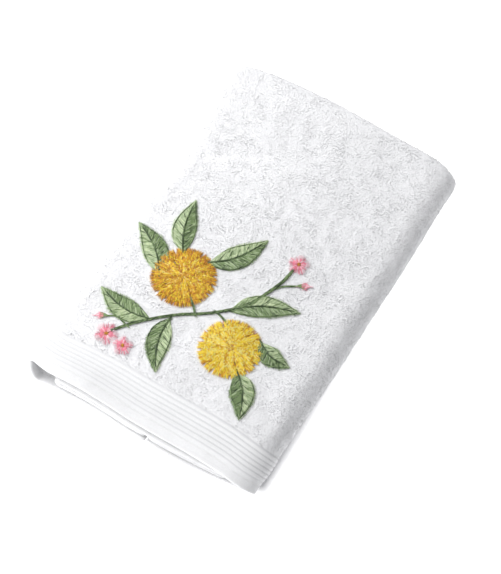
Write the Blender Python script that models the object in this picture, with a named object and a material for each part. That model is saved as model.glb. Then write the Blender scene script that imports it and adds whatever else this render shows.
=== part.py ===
"""A terry hand towel, folded in half across its length and then with both sides turned under.

The towel is one sheet of cloth. Its two hemmed ends lie together at the front (-Y), its first
fold is at the back (+Y), and its long edges meet under the middle, so the stack has four layers.
Seen from the front, the outer half of the length runs under the left side, round the left fold,
across the top, round the right fold and under the right side. The inner half lies inside it.

Sizes are in millimetres and become metres when the mesh is made. +X is the folded width, +Y the
folded length and +Z is up. The tables measure from the line where the long edges meet, and the
mesh is made with its origin at the middle of the bottom.
"""

import math
from collections import namedtuple

import bmesh
import bpy
from mathutils import Vector

METRES = 0.001
NUDGE = 0.02  # a small step across a run of columns, to find which way the cloth faces

# The cloth
PILE_THICK = 5.6  # loops on both faces
BORDER_THICK = 3.2  # the flat woven band, between its ribs
HEM_THICK = 3.4
HEM_LENGTH = 8.0
RIBS_START = 10.6  # a plain strip lies between the hem and the first rib
RIB_COUNT = 6
RIB_PITCH = 3.5
RIB_RISE = 0.5  # on each face
BORDER_LENGTH = RIBS_START + RIB_COUNT * RIB_PITCH
HALF_LENGTH = 306.0  # of the flat cloth, from a hem to the start of the back fold
RIM_BULGE = 1.2  # how far the middle of a cut edge stands out past its faces

# The back fold joins the outer half to the inner half
BACK_REACH = 4.0
BACK_STEPS = 6

# How far the inner half's long edges stop from the middle
INNER_EDGE = 3.0

# The folded outline by place along the length: the outermost cloth on each side, how far in each
# turn starts above and below, how high its tip lies as a share of the height, how far in the
# inner half stays behind the outer one, and how far the outer long edges stop from the middle.
Side = namedtuple(
    "Side",
    "y left right left_above left_tip right_above right_tip left_inset right_inset outer_edge",
)
SIDES = (
    Side(-158.0, -107.50, 94.25, 6.0, 0.88, 24.0, 0.20, 28.0, 25.0, 1.6),
    Side(-140.0, -110.25, 96.25, 8.5, 0.72, 21.0, 0.28, 23.0, 20.0, 1.8),
    Side(-118.0, -111.00, 97.50, 13.0, 0.56, 18.0, 0.42, 14.0, 12.0, 2.4),
    Side(-92.0, -110.75, 99.25, 16.0, 0.50, 16.0, 0.50, 9.5, 9.0, 3.4),
    Side(-61.5, -110.50, 100.75, 16.0, 0.50, 16.0, 0.50, 9.0, 9.0, 4.0),
    Side(-13.5, -107.30, 102.75, 16.0, 0.50, 16.0, 0.50, 9.0, 9.0, 3.5),
    Side(29.5, -102.60, 104.25, 16.0, 0.50, 16.0, 0.50, 9.0, 9.0, 3.0),
    Side(54.5, -99.50, 105.15, 16.0, 0.48, 16.0, 0.50, 9.0, 9.0, 3.0),
    Side(84.5, -101.50, 105.75, 16.0, 0.50, 16.0, 0.50, 8.5, 8.5, 5.0),
    Side(106.5, -104.75, 105.75, 16.0, 0.50, 16.0, 0.50, 8.0, 8.0, 6.5),
    Side(142.5, -106.75, 106.75, 16.0, 0.50, 16.0, 0.50, 8.0, 8.0, 8.0),
)

# The heights of the middles of the four layers by place along the length.
Stack = namedtuple("Stack", "y flaps low_inner high_inner top")
STACKS = (
    Stack(-158.0, 1.7, 6.0, 10.0, 14.1),
    Stack(-150.0, 1.7, 6.6, 11.6, 16.6),
    Stack(-140.0, 1.7, 7.5, 13.1, 18.8),
    Stack(-121.0, 2.8, 9.3, 16.8, 23.8),
    Stack(-95.0, 2.8, 9.4, 17.6, 24.4),
    Stack(20.0, 2.8, 9.4, 18.0, 24.9),
    Stack(52.0, 2.8, 9.4, 17.0, 23.7),
    Stack(84.0, 2.8, 9.4, 18.0, 24.9),
    Stack(135.0, 2.8, 10.0, 17.2, 24.8),
)

# The front end by place across the width: how far each layer but the flaps rises off its place
# in the stack, how much fuller the loose hems are, and where the hems of the top layer, of the
# flaps and of the inner half lie.
Front = namedtuple("Front", "x low_inner high_inner top fullness top_hem flap_hem inner_hem")
FRONTS = (
    Front(-105.0, 5.0, 5.0, 10.8, 0.4, -153.0, -158.5, -155.5),
    Front(-85.0, 5.4, 5.4, 11.2, 2.7, -155.6, -157.5, -155.5),
    Front(-60.0, 4.7, 4.7, 9.6, 2.4, -155.0, -157.0, -155.7),
    Front(-48.0, 3.6, 3.6, 7.4, 1.9, -155.0, -157.2, -156.0),
    Front(-35.0, 2.4, 2.4, 5.0, 1.3, -155.3, -158.0, -156.7),
    Front(-13.0, 1.0, 1.0, 2.2, 0.5, -156.5, -160.0, -158.3),
    Front(31.0, 0.0, 0.0, 0.0, 0.0, -157.7, -162.0, -159.9),
    Front(58.0, 0.0, 0.0, 0.0, 0.0, -159.5, -160.6, -159.8),
    Front(80.0, 0.0, 0.0, 0.0, 0.0, -162.5, -159.0, -157.5),
    Front(95.0, 0.0, 0.0, 0.0, 0.0, -163.5, -158.0, -157.0),
)
FULLNESS_FADE = 14.0  # past the hem, the length over which its fullness goes
RISE_START = -119.0  # the layers rise off the stack from here to the front
RISE_LENGTH = 38.0

# The back end by place across the width: the outermost cloth.
Back = namedtuple("Back", "x y")
BACKS = (
    Back(-105.0, 150.5),
    Back(-98.0, 152.8),
    Back(-78.0, 158.3),
    Back(-42.0, 160.5),
    Back(-10.0, 160.3),
    Back(20.0, 158.0),
    Back(52.0, 155.5),
    Back(75.0, 153.8),
    Back(88.0, 151.5),
    Back(104.0, 147.8),
)

# The middle of the footprint in the tables' own measures, which becomes the origin.
FOOTPRINT_MIDDLE = Vector((-2.082, -1.367, 0.0))

# Columns of the mesh, from the left long edge round to the right one.
Run = namedtuple("Run", "name steps")
RUNS = (
    Run("left_flap", 5),
    Run("left_turn", 7),
    Run("face", 12),
    Run("right_turn", 7),
    Run("right_flap", 5),
)

PILE_ROWS_OUTER = 13
PILE_ROWS_INNER = 8
HEM_ROWS = 3
RIB_SHAPE = ((0.0, 0.0), (0.3, 1.0), (0.7, 1.0))  # place in the pitch, share of the rise

Finish = namedtuple("Finish", "name colour roughness")
COTTON = Finish("white_cotton", (0.93, 0.93, 0.94, 1.0), 0.92)


def read_table(rows, key, column, place):
    """The value of a column at a place, on a smooth curve through the rows of the table."""
    keys = [getattr(row, key) for row in rows]
    values = [getattr(row, column) for row in rows]
    if place <= keys[0]:
        return values[0]
    if place >= keys[-1]:
        return values[-1]
    right = next(i for i, limit in enumerate(keys) if place < limit)
    left = right - 1
    span = keys[right] - keys[left]

    def slope(i):
        if i in (0, len(keys) - 1):
            return 0.0
        before = (values[i] - values[i - 1]) / (keys[i] - keys[i - 1])
        after = (values[i + 1] - values[i]) / (keys[i + 1] - keys[i])
        if before * after <= 0:
            return 0.0
        return 2 * before * after / (before + after)

    t = (place - keys[left]) / span
    return (
        values[left] * (1 + 2 * t) * (1 - t) ** 2
        + slope(left) * span * t * (1 - t) ** 2
        + values[right] * t * t * (3 - 2 * t)
        + slope(right) * span * t * t * (t - 1)
    )


def ease(t):
    """0 before 0, 1 after 1, and a smooth rise between them."""
    t = min(max(t, 0.0), 1.0)
    return t * t * (3 - 2 * t)


def side_at(column, y):
    return read_table(SIDES, "y", column, y)


def turn_point(share, above, below, tip):
    """How far in from its tip a turn's cloth is, and its height share, at a share of its half circle."""
    angle = math.pi * share
    if share < 0.5:
        return above * (1 - math.sin(angle)), tip + (1 - tip) * math.cos(angle)
    return below * (1 - math.sin(angle)), tip * (1 + math.cos(angle))


def place_in_section(run, at, y, inner):
    """Where a column lies in the section at y: its x, and its height from 0 below to 1 above."""
    half = PILE_THICK / 2
    left, right = side_at("left", y) + half, side_at("right", y) - half
    if inner:
        left, right = left + side_at("left_inset", y), right - side_at("right_inset", y)
        left_above = left_below = half_height(left, y)
        right_above = right_below = half_height(right, y)
        left_tip = right_tip = 0.5
        edge = INNER_EDGE
    else:
        left_above, left_tip = side_at("left_above", y), side_at("left_tip", y)
        right_above, right_tip = side_at("right_above", y), side_at("right_tip", y)
        low, high = stack_heights(right, y, False)
        left_below, right_below = (high - low) * left_tip, (high - low) * right_tip
        edge = side_at("outer_edge", y)
    if run == "left_flap":
        return -edge + (left + left_below + edge) * at, 0.0
    if run == "right_flap":
        return right - right_below + (edge - right + right_below) * at, 0.0
    if run == "face":
        start, end = left + left_above, right - right_above
        return start + (end - start) * at, 1.0
    if run == "left_turn":
        inset, share = turn_point(1 - at, left_above, left_below, left_tip)
        return left + inset, share
    inset, share = turn_point(at, right_above, right_below, right_tip)
    return right - inset, share


def half_height(x, y):
    """Half the height from the lower to the upper layer of the inner half."""
    low, high = stack_heights(x, y, True)
    return (high - low) / 2


def stack_heights(x, y, inner):
    """The heights of the lower and the upper layer of the inner or the outer half."""
    names = ("low_inner", "high_inner") if inner else ("flaps", "top")
    rising = ease((RISE_START - y) / RISE_LENGTH)
    heights = []
    for name in names:
        rise = 0.0 if name == "flaps" else read_table(FRONTS, "x", name, x)
        heights.append(read_table(STACKS, "y", name, y) + rise * rising)
    return heights


def layer_point(run, at, from_hem, inner, thick=None):
    """A point of one half by its flat distance from its hem. The flaps' face lies on the floor."""
    y = SIDES[0].y + from_hem
    for _ in range(3):
        outer_x, share = place_in_section(run, at, y, False)
        fold = read_table(BACKS, "x", "y", outer_x) - BACK_REACH - PILE_THICK / 2
        if inner:
            x, share = place_in_section(run, at, y, True)
            hem = read_table(FRONTS, "x", "inner_hem", x)
        else:
            x = outer_x
            flap_hem = read_table(FRONTS, "x", "flap_hem", x)
            top_hem = read_table(FRONTS, "x", "top_hem", x)
            hem = flap_hem + (top_hem - flap_hem) * share
        y = hem + (fold - hem) * from_hem / HALF_LENGTH
    low, high = stack_heights(x, y, inner)
    if thick and not inner:
        low = thick / 2
    return Vector((x, y, low + (high - low) * share))


BACK_ARC = math.pi * BACK_REACH
FLAT_LENGTH = 2 * HALF_LENGTH + BACK_ARC


def middle_point(run, at, along, thick=None):
    """A point of the cloth's middle, by its flat distance from the outer half's hem."""
    if along <= HALF_LENGTH:
        return layer_point(run, at, along, False, thick)
    if along >= HALF_LENGTH + BACK_ARC:
        return layer_point(run, at, FLAT_LENGTH - along, True)
    outer, inner = layer_point(run, at, HALF_LENGTH, False), layer_point(run, at, HALF_LENGTH, True)
    half_gap = (outer - inner) / 2
    turn = (along - HALF_LENGTH) / BACK_REACH
    reach = Vector((0, BACK_REACH, 0))
    return (outer + inner) / 2 + half_gap * math.cos(turn) + reach * math.sin(turn)


def column_list():
    """(run, place in the run) of every column of the mesh."""
    columns = []
    for run in RUNS:
        columns += [(run.name, step / run.steps) for step in range(run.steps)]
    return columns + [(RUNS[-1].name, 1.0)]


def row_list():
    """(flat distance from the outer hem, thickness) of every row of the mesh."""
    rows = [(HEM_LENGTH * step / HEM_ROWS, HEM_THICK) for step in range(HEM_ROWS)]
    rows.append((HEM_LENGTH, BORDER_THICK))
    for rib in range(RIB_COUNT):
        for place, share in RIB_SHAPE:
            along = RIBS_START + (rib + place) * RIB_PITCH
            rows.append((along, BORDER_THICK + 2 * RIB_RISE * share))
    rows.append((BORDER_LENGTH, BORDER_THICK))
    pile = HALF_LENGTH - BORDER_LENGTH
    for step in range(PILE_ROWS_OUTER):
        start = RIB_PITCH / 2 if step == 0 else 0
        rows.append((BORDER_LENGTH + start + pile * step / PILE_ROWS_OUTER, PILE_THICK))
    rows += [(HALF_LENGTH + BACK_ARC * step / BACK_STEPS, PILE_THICK) for step in range(BACK_STEPS)]
    start = HALF_LENGTH + BACK_ARC
    rows += [(start + pile * step / PILE_ROWS_INNER, PILE_THICK) for step in range(PILE_ROWS_INNER)]
    rows += [
        (FLAT_LENGTH - BORDER_LENGTH - RIB_PITCH / 2, PILE_THICK),
        (FLAT_LENGTH - BORDER_LENGTH, BORDER_THICK),
        (FLAT_LENGTH - BORDER_LENGTH / 2, BORDER_THICK),
        (FLAT_LENGTH - HEM_LENGTH, HEM_THICK),
        (FLAT_LENGTH, HEM_THICK),
    ]
    return rows


def facing(columns, index, along):
    """The unit vector out of the cloth's face at a column."""
    run, at = columns[index]
    before, after = max(at - NUDGE, 0.0), min(at + NUDGE, 1.0)
    across = middle_point(run, after, along) - middle_point(run, before, along)
    across.y = 0.0  # a column's thickness stays in its own section where the back slants
    lengthwise = middle_point(run, at, along + 0.5) - middle_point(run, at, along - 0.5)
    return across.cross(lengthwise).normalized()


def fullness_at(x, along):
    """How far the cloth's other side stands out where its hems are loose at the front left."""
    past_hem = min(along, FLAT_LENGTH - along) - HEM_LENGTH
    return read_table(FRONTS, "x", "fullness", x) * (1 - ease(past_hem / FULLNESS_FADE))


def on_floor(run, at, along):
    """Whether the cloth's face lies on the floor: the outer half's flaps, up to where they turn."""
    if along > HALF_LENGTH:
        return False
    return run.endswith("flap") or (run == "left_turn" and at == 0)


def rim_direction(run, at, along):
    """The level unit vector out of the sheet's cut edge, or out of its corner."""
    middle = middle_point(run, at, along)
    out = Vector((0, 0, 0))
    for edge, nudge in ((0, 1.0), (FLAT_LENGTH, -1.0)):
        if along == edge:
            out += (middle - middle_point(run, at, along + nudge)).normalized()
    for edge, nudge in (("left_flap", NUDGE), ("right_flap", -NUDGE)):
        if run == edge and at == (nudge < 0):
            out += (middle - middle_point(run, at + nudge, along)).normalized()
    if not (run == "face" or run.endswith("turn")):
        out.z = 0.0
    return out.normalized()


def towel_mesh():
    """The closed skin of the folded sheet: a face grid, a back grid and a rounded rim."""
    columns, rows = column_list(), row_list()
    last_column, last_row = len(columns) - 1, len(rows) - 1
    mesh = bmesh.new()
    face, back, rim = {}, {}, {}
    for i, (along, thick) in enumerate(rows):
        for j, (run, at) in enumerate(columns):
            middle = middle_point(run, at, along, thick)
            fullness = fullness_at(middle.x, along)
            middle -= FOOTPRINT_MIDDLE
            out = facing(columns, j, along)
            above, below = middle + out * thick / 2, middle - out * (thick / 2 + fullness)
            if on_floor(run, at, along):
                above.z, below.z = 0.0, thick + fullness
            face[i, j] = mesh.verts.new(above * METRES)
            back[i, j] = mesh.verts.new(below * METRES)
            if i in (0, last_row) or j in (0, last_column):
                bulge = rim_direction(run, at, along) * RIM_BULGE
                rim[i, j] = mesh.verts.new(((above + below) / 2 + bulge) * METRES)
    for i in range(last_row):
        for j in range(last_column):
            corners = ((i, j), (i, j + 1), (i + 1, j + 1), (i + 1, j))
            mesh.faces.new([face[corner] for corner in corners])
            mesh.faces.new([back[corner] for corner in reversed(corners)])
    edge = [(0, j) for j in range(last_column)]
    edge += [(i, last_column) for i in range(last_row)]
    edge += [(last_row, j) for j in range(last_column, 0, -1)]
    edge += [(i, 0) for i in range(last_row, 0, -1)]
    for here, following in zip(edge, edge[1:] + edge[:1]):
        mesh.faces.new((face[following], face[here], rim[here], rim[following]))
        mesh.faces.new((rim[following], rim[here], back[here], back[following]))
    return mesh


def cloth_material(finish):
    """A plain cloth material in the finish's colour."""
    material = bpy.data.materials.new(finish.name)
    material.use_nodes = True
    shader = material.node_tree.nodes["Principled BSDF"]
    shader.inputs["Base Color"].default_value = finish.colour
    shader.inputs["Roughness"].default_value = finish.roughness
    shader.inputs["Metallic"].default_value = 0.0
    return material


def build_towel():
    """The folded towel, in a collection of its own."""
    collection = bpy.data.collections.new("hand_towel")
    bpy.context.scene.collection.children.link(collection)
    skin = towel_mesh()
    data = bpy.data.meshes.new("towel")
    skin.to_mesh(data)
    skin.free()
    data.shade_smooth()
    data.materials.append(cloth_material(COTTON))
    towel = bpy.data.objects.new("towel", data)
    collection.objects.link(towel)
    return towel


for leftover in list(bpy.data.objects):
    bpy.data.objects.remove(leftover, do_unlink=True)
build_towel()
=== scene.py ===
"""Dresses the folded terry hand towel: its cloth, its looped pile, its sewing and its sprig.

The cloth is one sheet, folded in half across its length and then with both sides turned under.
A place on it is given by two numbers. The first, across, runs from 0 at the left long edge to 5 at
the right one, a whole number at each end of the five runs of the section. The second, along, is
the flat distance in millimetres from the hem of the outer half, round the back fold, to the hem
of the inner half. Sizes are in millimetres and become metres when a mesh is made.
"""

import logging
import math
from dataclasses import dataclass, field
from enum import Enum
from typing import Any, Iterator, Optional, Sequence, Union

import bpy
import numpy as np
from mathutils import Matrix, Vector


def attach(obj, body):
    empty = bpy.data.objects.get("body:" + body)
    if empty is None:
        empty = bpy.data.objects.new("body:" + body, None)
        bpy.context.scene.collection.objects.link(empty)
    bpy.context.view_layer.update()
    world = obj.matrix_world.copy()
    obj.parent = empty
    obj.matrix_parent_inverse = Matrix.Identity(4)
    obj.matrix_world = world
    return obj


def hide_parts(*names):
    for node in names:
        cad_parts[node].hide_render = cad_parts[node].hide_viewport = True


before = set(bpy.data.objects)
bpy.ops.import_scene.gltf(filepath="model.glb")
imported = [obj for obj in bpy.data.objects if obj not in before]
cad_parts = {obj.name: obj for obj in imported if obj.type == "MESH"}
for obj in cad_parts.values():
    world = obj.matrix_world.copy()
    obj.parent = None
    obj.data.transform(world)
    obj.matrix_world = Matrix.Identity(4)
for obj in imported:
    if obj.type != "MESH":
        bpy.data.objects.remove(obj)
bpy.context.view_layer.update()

log = logging.getLogger("towel")
METRES = 0.001
CENTRE = np.array([-2.082, -1.367, 0.0])  # the middle of the footprint in the tables' measures
BAKE_MAP = "OFBake"  # a piece's own map of its whole surface
Numbers = np.ndarray
Colour = tuple[float, float, float]
Place = tuple[float, float]
Sockets = dict[Union[str, int], Any]


class Run(Enum):
    """The five runs of the folded section, from the left long edge round to the right one."""

    LEFT_FLAP = 0
    LEFT_TURN = 1
    FACE = 2
    RIGHT_TURN = 3
    RIGHT_FLAP = 4


def ease(t: Numbers) -> Numbers:
    """0 before 0, 1 after 1, and a smooth rise between them."""
    t = np.clip(t, 0.0, 1.0)
    return t * t * (3 - 2 * t)


def between(place: Numbers, start: float, end: float, slope: float) -> Numbers:
    """0 outside two places and 1 well between them, with smooth sides of that slope."""
    return ease((place - start) * slope) * ease((end - place) * slope)


def unit(vectors: Numbers) -> Numbers:
    """The vectors at unit length."""
    return vectors / np.maximum(np.linalg.norm(vectors, axis=-1, keepdims=True), 1e-9)


def towards(angle: float) -> Numbers:
    """The unit step on the top that goes in the direction of an angle."""
    return np.array([math.cos(angle), math.sin(angle)])


def left_of(way: Numbers) -> Numbers:
    """A step turned a quarter turn to its left."""
    return np.array([-way[1], way[0]])


def add_object(name: str, data: Any) -> bpy.types.Object:
    """Adds an object to the scene."""
    added = bpy.data.objects.new(name, data)
    bpy.context.scene.collection.objects.link(added)
    return added


class Table:
    """Rows of sizes, read as smooth curves that never overshoot them."""

    def __init__(self, columns: str, *rows: Sequence[float]) -> None:
        """Keeps the rows.

        Args:
            columns: the names of the columns, the first being the place.
            rows: one row of numbers for each place, in rising order.
        """
        self.values = dict(zip(columns.split(), np.array(rows, float).T))
        self.places = self.values[columns.split()[0]]

    def read(self, name: str, place: Numbers) -> Numbers:
        """Reads a column.

        Args:
            name: the column.
            place: where to read it; past the ends the end values hold.

        Returns:
            The column's values at those places.
        """
        values, spans = self.values[name], np.diff(self.places)
        slopes = np.diff(values) / spans
        product, total = slopes[:-1] * slopes[1:], slopes[:-1] + slopes[1:]
        inner = np.where(product > 0, 2 * product / np.where(product > 0, total, 1.0), 0.0)
        tangents = np.concatenate(([0.0], inner, [0.0]))
        left = np.clip(np.searchsorted(self.places, place, side="right") - 1, 0, len(spans) - 1)
        span = spans[left]
        t = np.clip((place - self.places[left]) / span, 0.0, 1.0)
        return (
            values[left] * (1 + 2 * t) * (1 - t) ** 2
            + tangents[left] * span * t * (1 - t) ** 2
            + values[left + 1] * t * t * (3 - 2 * t)
            + tangents[left + 1] * span * t * t * (t - 1)
        )


@dataclass(frozen=True)
class Unevenness:
    """Smooth random unevenness over the flat cloth, from -1 to 1."""

    seed: int
    period: float
    stretch: float = 1.0  # how much longer it is along the cloth than across it

    CELLS = 256

    def at(self, u: Numbers, v: Numbers) -> Numbers:
        """The unevenness at places on the flat cloth.

        Args:
            u: their flat distances across.
            v: their flat distances along.

        Returns:
            The unevenness of each.
        """
        grid = np.random.default_rng(self.seed).uniform(-1, 1, (self.CELLS, self.CELLS))
        a, b = u / self.period, v / (self.period * self.stretch)
        i, j = np.floor(a).astype(int), np.floor(b).astype(int)
        s, t = ease(a - i), ease(b - j)
        i0, j0, i1, j1 = (n % self.CELLS for n in (i, j, i + 1, j + 1))
        low = grid[i0, j0] * (1 - s) + grid[i1, j0] * s
        return low * (1 - t) + (grid[i0, j1] * (1 - s) + grid[i1, j1] * s) * t


@dataclass(frozen=True)
class Crease:
    """A soft trough or ridge in the top: its ends, width, rise and bow."""

    x0: float
    y0: float
    x1: float
    y1: float
    width: float
    rise: float
    bow: float

    FADE = 3.0  # how steeply it comes up from its ends

    def at(self, x: Numbers, y: Numbers) -> Numbers:
        """How far the crease lifts the cloth's face.

        Args:
            x: the places' x on the top.
            y: their y.

        Returns:
            The rise at each place, under 0 in a trough.
        """
        dx, dy = self.x1 - self.x0, self.y1 - self.y0
        length = math.hypot(dx, dy)
        share = ((x - self.x0) * dx + (y - self.y0) * dy) / length**2
        aside = ((x - self.x0) * dy - (y - self.y0) * dx) / length
        aside = aside - self.bow * np.sin(np.pi * np.clip(share, 0, 1))
        fade = between(share, 0.0, 1.0, self.FADE)
        return self.rise * fade * np.exp(-((aside / self.width) ** 2))


@dataclass
class FoldedSheet:
    """The middle surface of the folded cloth, and the sizes that its fold is worked out from."""

    pile: float = 5.6
    border: float = 3.2
    hem: float = 3.4
    hem_length: float = 8.0
    ribs_start: float = 10.6
    rib_count: int = 6
    rib_pitch: float = 3.5
    rib_rise: float = 0.5
    half_length: float = 306.0
    back_reach: float = 4.0
    inner_edge: float = 3.0
    rise_start: float = -119.0
    rise_length: float = 38.0
    fullness_fade: float = 14.0  # past the hem, where the fullness of the loose hems goes
    sides: Table = Table(
        "y left right left_above left_tip right_above right_tip left_inset right_inset edge",
        (-158.0, -107.50, 94.25, 6.0, 0.88, 24.0, 0.20, 28.0, 25.0, 1.6),
        (-140.0, -110.25, 96.25, 8.5, 0.72, 21.0, 0.28, 23.0, 20.0, 1.8),
        (-118.0, -111.00, 97.50, 13.0, 0.56, 18.0, 0.42, 14.0, 12.0, 2.4),
        (-92.0, -110.75, 99.25, 16.0, 0.50, 16.0, 0.50, 9.5, 9.0, 3.4),
        (-61.5, -110.50, 100.75, 16.0, 0.50, 16.0, 0.50, 9.0, 9.0, 4.0),
        (-13.5, -107.30, 102.75, 16.0, 0.50, 16.0, 0.50, 9.0, 9.0, 3.5),
        (29.5, -102.60, 104.25, 16.0, 0.50, 16.0, 0.50, 9.0, 9.0, 3.0),
        (54.5, -99.50, 105.15, 16.0, 0.48, 16.0, 0.50, 9.0, 9.0, 3.0),
        (84.5, -101.50, 105.75, 16.0, 0.50, 16.0, 0.50, 8.5, 8.5, 5.0),
        (106.5, -104.75, 105.75, 16.0, 0.50, 16.0, 0.50, 8.0, 8.0, 6.5),
        (142.5, -106.75, 106.75, 16.0, 0.50, 16.0, 0.50, 8.0, 8.0, 8.0),
    )
    stacks: Table = Table(
        "y flaps low_inner high_inner top",
        (-158.0, 1.7, 6.0, 10.0, 14.1),
        (-150.0, 1.7, 6.6, 11.6, 16.6),
        (-140.0, 1.7, 7.5, 13.1, 18.8),
        (-121.0, 2.8, 9.3, 16.8, 23.8),
        (-95.0, 2.8, 9.4, 17.6, 24.4),
        (20.0, 2.8, 9.4, 18.0, 24.9),
        (52.0, 2.8, 9.4, 17.0, 23.7),
        (84.0, 2.8, 9.4, 18.0, 24.9),
        (135.0, 2.8, 10.0, 17.2, 24.8),
    )
    fronts: Table = Table(
        "x low_inner high_inner top fullness top_hem flap_hem inner_hem",
        (-105.0, 5.0, 5.0, 10.8, 0.4, -153.0, -158.5, -155.5),
        (-85.0, 5.4, 5.4, 11.2, 2.7, -155.6, -157.5, -155.5),
        (-60.0, 4.7, 4.7, 9.6, 2.4, -155.0, -157.0, -155.7),
        (-48.0, 3.6, 3.6, 7.4, 1.9, -155.0, -157.2, -156.0),
        (-35.0, 2.4, 2.4, 5.0, 1.3, -155.3, -158.0, -156.7),
        (-13.0, 1.0, 1.0, 2.2, 0.5, -156.5, -160.0, -158.3),
        (31.0, 0.0, 0.0, 0.0, 0.0, -157.7, -162.0, -159.9),
        (58.0, 0.0, 0.0, 0.0, 0.0, -159.5, -160.6, -159.8),
        (80.0, 0.0, 0.0, 0.0, 0.0, -162.5, -159.0, -157.5),
        (95.0, 0.0, 0.0, 0.0, 0.0, -163.5, -158.0, -157.0),
    )
    backs: Table = Table(
        "x y",
        *((-105.0, 150.5), (-98.0, 152.8), (-78.0, 158.3), (-42.0, 160.5), (-10.0, 160.3)),
        *((20.0, 158.0), (52.0, 155.5), (75.0, 153.8), (88.0, 151.5), (104.0, 147.8)),
    )
    # The height of the middle of the layer that lies on the floor, by the distance from its hem.
    flaps: Table = Table(
        "along height", (0.0, 1.7), (8.0, 1.8), (12.0, 2.1), (30.0, 2.1), (36.0, 2.8)
    )

    SAMPLES = 1001  # of the section that the flat width is measured on
    SEARCHES = 3  # for the y of a place, each nearer than the last

    def __post_init__(self) -> None:
        """Works out the lengths that follow from the others."""
        self.border_length = self.ribs_start + self.rib_count * self.rib_pitch
        self.back_arc = math.pi * self.back_reach
        self.length = 2 * self.half_length + self.back_arc
        self.front = self.sides.places[0]
        self._samples = np.linspace(0, len(Run), self.SAMPLES)
        path = self.middle(self._samples, np.full(self.SAMPLES, self.half_length / 2))
        steps = np.linalg.norm(np.diff(path, axis=0), axis=1)
        self._flat = np.concatenate(([0.0], np.cumsum(steps)))
        self.width = float(self._flat[-1])

    def flat_across(self, across: Numbers) -> Numbers:
        """The flat distance from the left long edge."""
        return np.interp(across, self._samples, self._flat)

    def across_at(self, flat: Numbers) -> Numbers:
        """The place across whose flat distance from the left long edge is given."""
        return np.interp(flat, self._flat, self._samples)

    def rise_at(self, y: Numbers) -> Numbers:
        """The share of the front end's rise that the layers have at y."""
        return ease((self.rise_start - y) / self.rise_length)

    def heights(self, x: Numbers, y: Numbers, inner: bool) -> tuple[Numbers, Numbers]:
        """The heights of the two layers of one half.

        Args:
            x: the places' x.
            y: their y.
            inner: whether it is the inner half.

        Returns:
            The heights of the lower and of the upper layer.
        """
        low = self.stacks.read("low_inner" if inner else "flaps", y)
        high_name = "high_inner" if inner else "top"
        high = self.stacks.read(high_name, y)
        rising = self.rise_at(y)
        high = high + self.fronts.read(high_name, x) * rising
        if inner:
            low = low + self.fronts.read("low_inner", x) * rising
        return low, high

    def section(self, across: Numbers, y: Numbers, inner: bool) -> tuple[Numbers, Numbers]:
        """Where a column lies in the section at y.

        Args:
            across: the column's place across.
            y: the section's place along the folded length.
            inner: whether it is the inner half.

        Returns:
            Its x, and its height from 0 at the lower layer to 1 at the upper one.
        """
        half = self.pile / 2
        size = {name: self.sides.read(name, y) for name in self.sides.values}
        left, right = size["left"] + half, size["right"] - half
        if inner:
            left, right = left + size["left_inset"], right - size["right_inset"]
            at_left, at_right = self.heights(left, y, True), self.heights(right, y, True)
            left_above = left_below = (at_left[1] - at_left[0]) / 2
            right_above = right_below = (at_right[1] - at_right[0]) / 2
            left_tip = right_tip = np.full_like(y, 0.5)
            edge = np.full_like(y, self.inner_edge)
        else:
            left_above, left_tip = size["left_above"], size["left_tip"]
            right_above, right_tip = size["right_above"], size["right_tip"]
            low, high = self.heights(right, y, False)
            left_below, right_below = (high - low) * left_tip, (high - low) * right_tip
            edge = size["edge"]
        run = np.clip(np.floor(across), 0, len(Run) - 1).astype(int)
        at = across - run
        left_in, left_share = self.turn(1 - at, left_above, left_below, left_tip)
        right_in, right_share = self.turn(at, right_above, right_below, right_tip)
        start, end = left + left_above, right - right_above
        turned, ended = left + left_below, right - right_below
        places = [
            -edge + (turned + edge) * at,
            left + left_in,
            start + (end - start) * at,
            right - right_in,
            ended + (edge - ended) * at,
        ]
        zero, one = np.zeros_like(at), np.ones_like(at)
        shares = [zero, left_share, one, right_share, zero]
        return np.choose(run, places), np.choose(run, shares)

    @staticmethod
    def turn(
        share: Numbers, above: Numbers, below: Numbers, tip: Numbers
    ) -> tuple[Numbers, Numbers]:
        """How far in from its tip a turn's cloth is, and its height share.

        Args:
            share: the place in the turn, from 0 above to 1 below.
            above: how far in the turn starts above.
            below: how far in it ends below.
            tip: the height share of its tip.

        Returns:
            The distance in from the tip, and the height share.
        """
        angle = np.pi * share
        upper = share < 0.5
        reach = np.where(upper, above, below) * (1 - np.sin(angle))
        height = np.where(upper, tip + (1 - tip) * np.cos(angle), tip * (1 + np.cos(angle)))
        return reach, height

    def layer(self, across: Numbers, from_hem: Numbers, inner: bool) -> Numbers:
        """Points of one half of the cloth.

        Args:
            across: places across.
            from_hem: their flat distances from the half's own hem.
            inner: whether it is the inner half.

        Returns:
            The points, with x, y and z in the last axis.
        """
        y = self.front + from_hem
        for _ in range(self.SEARCHES):
            outer_x, share = self.section(across, y, False)
            fold = self.backs.read("y", outer_x) - self.back_reach - self.pile / 2
            if inner:
                x, share = self.section(across, y, True)
                hem = self.fronts.read("inner_hem", x)
            else:
                x = outer_x
                flap = self.fronts.read("flap_hem", x)
                hem = flap + (self.fronts.read("top_hem", x) - flap) * share
            y = hem + (fold - hem) * from_hem / self.half_length
        low, high = self.heights(x, y, inner)
        if not inner:
            low = self.flaps.read("height", from_hem)
        return np.stack([x, y, low + (high - low) * share], -1)

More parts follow.
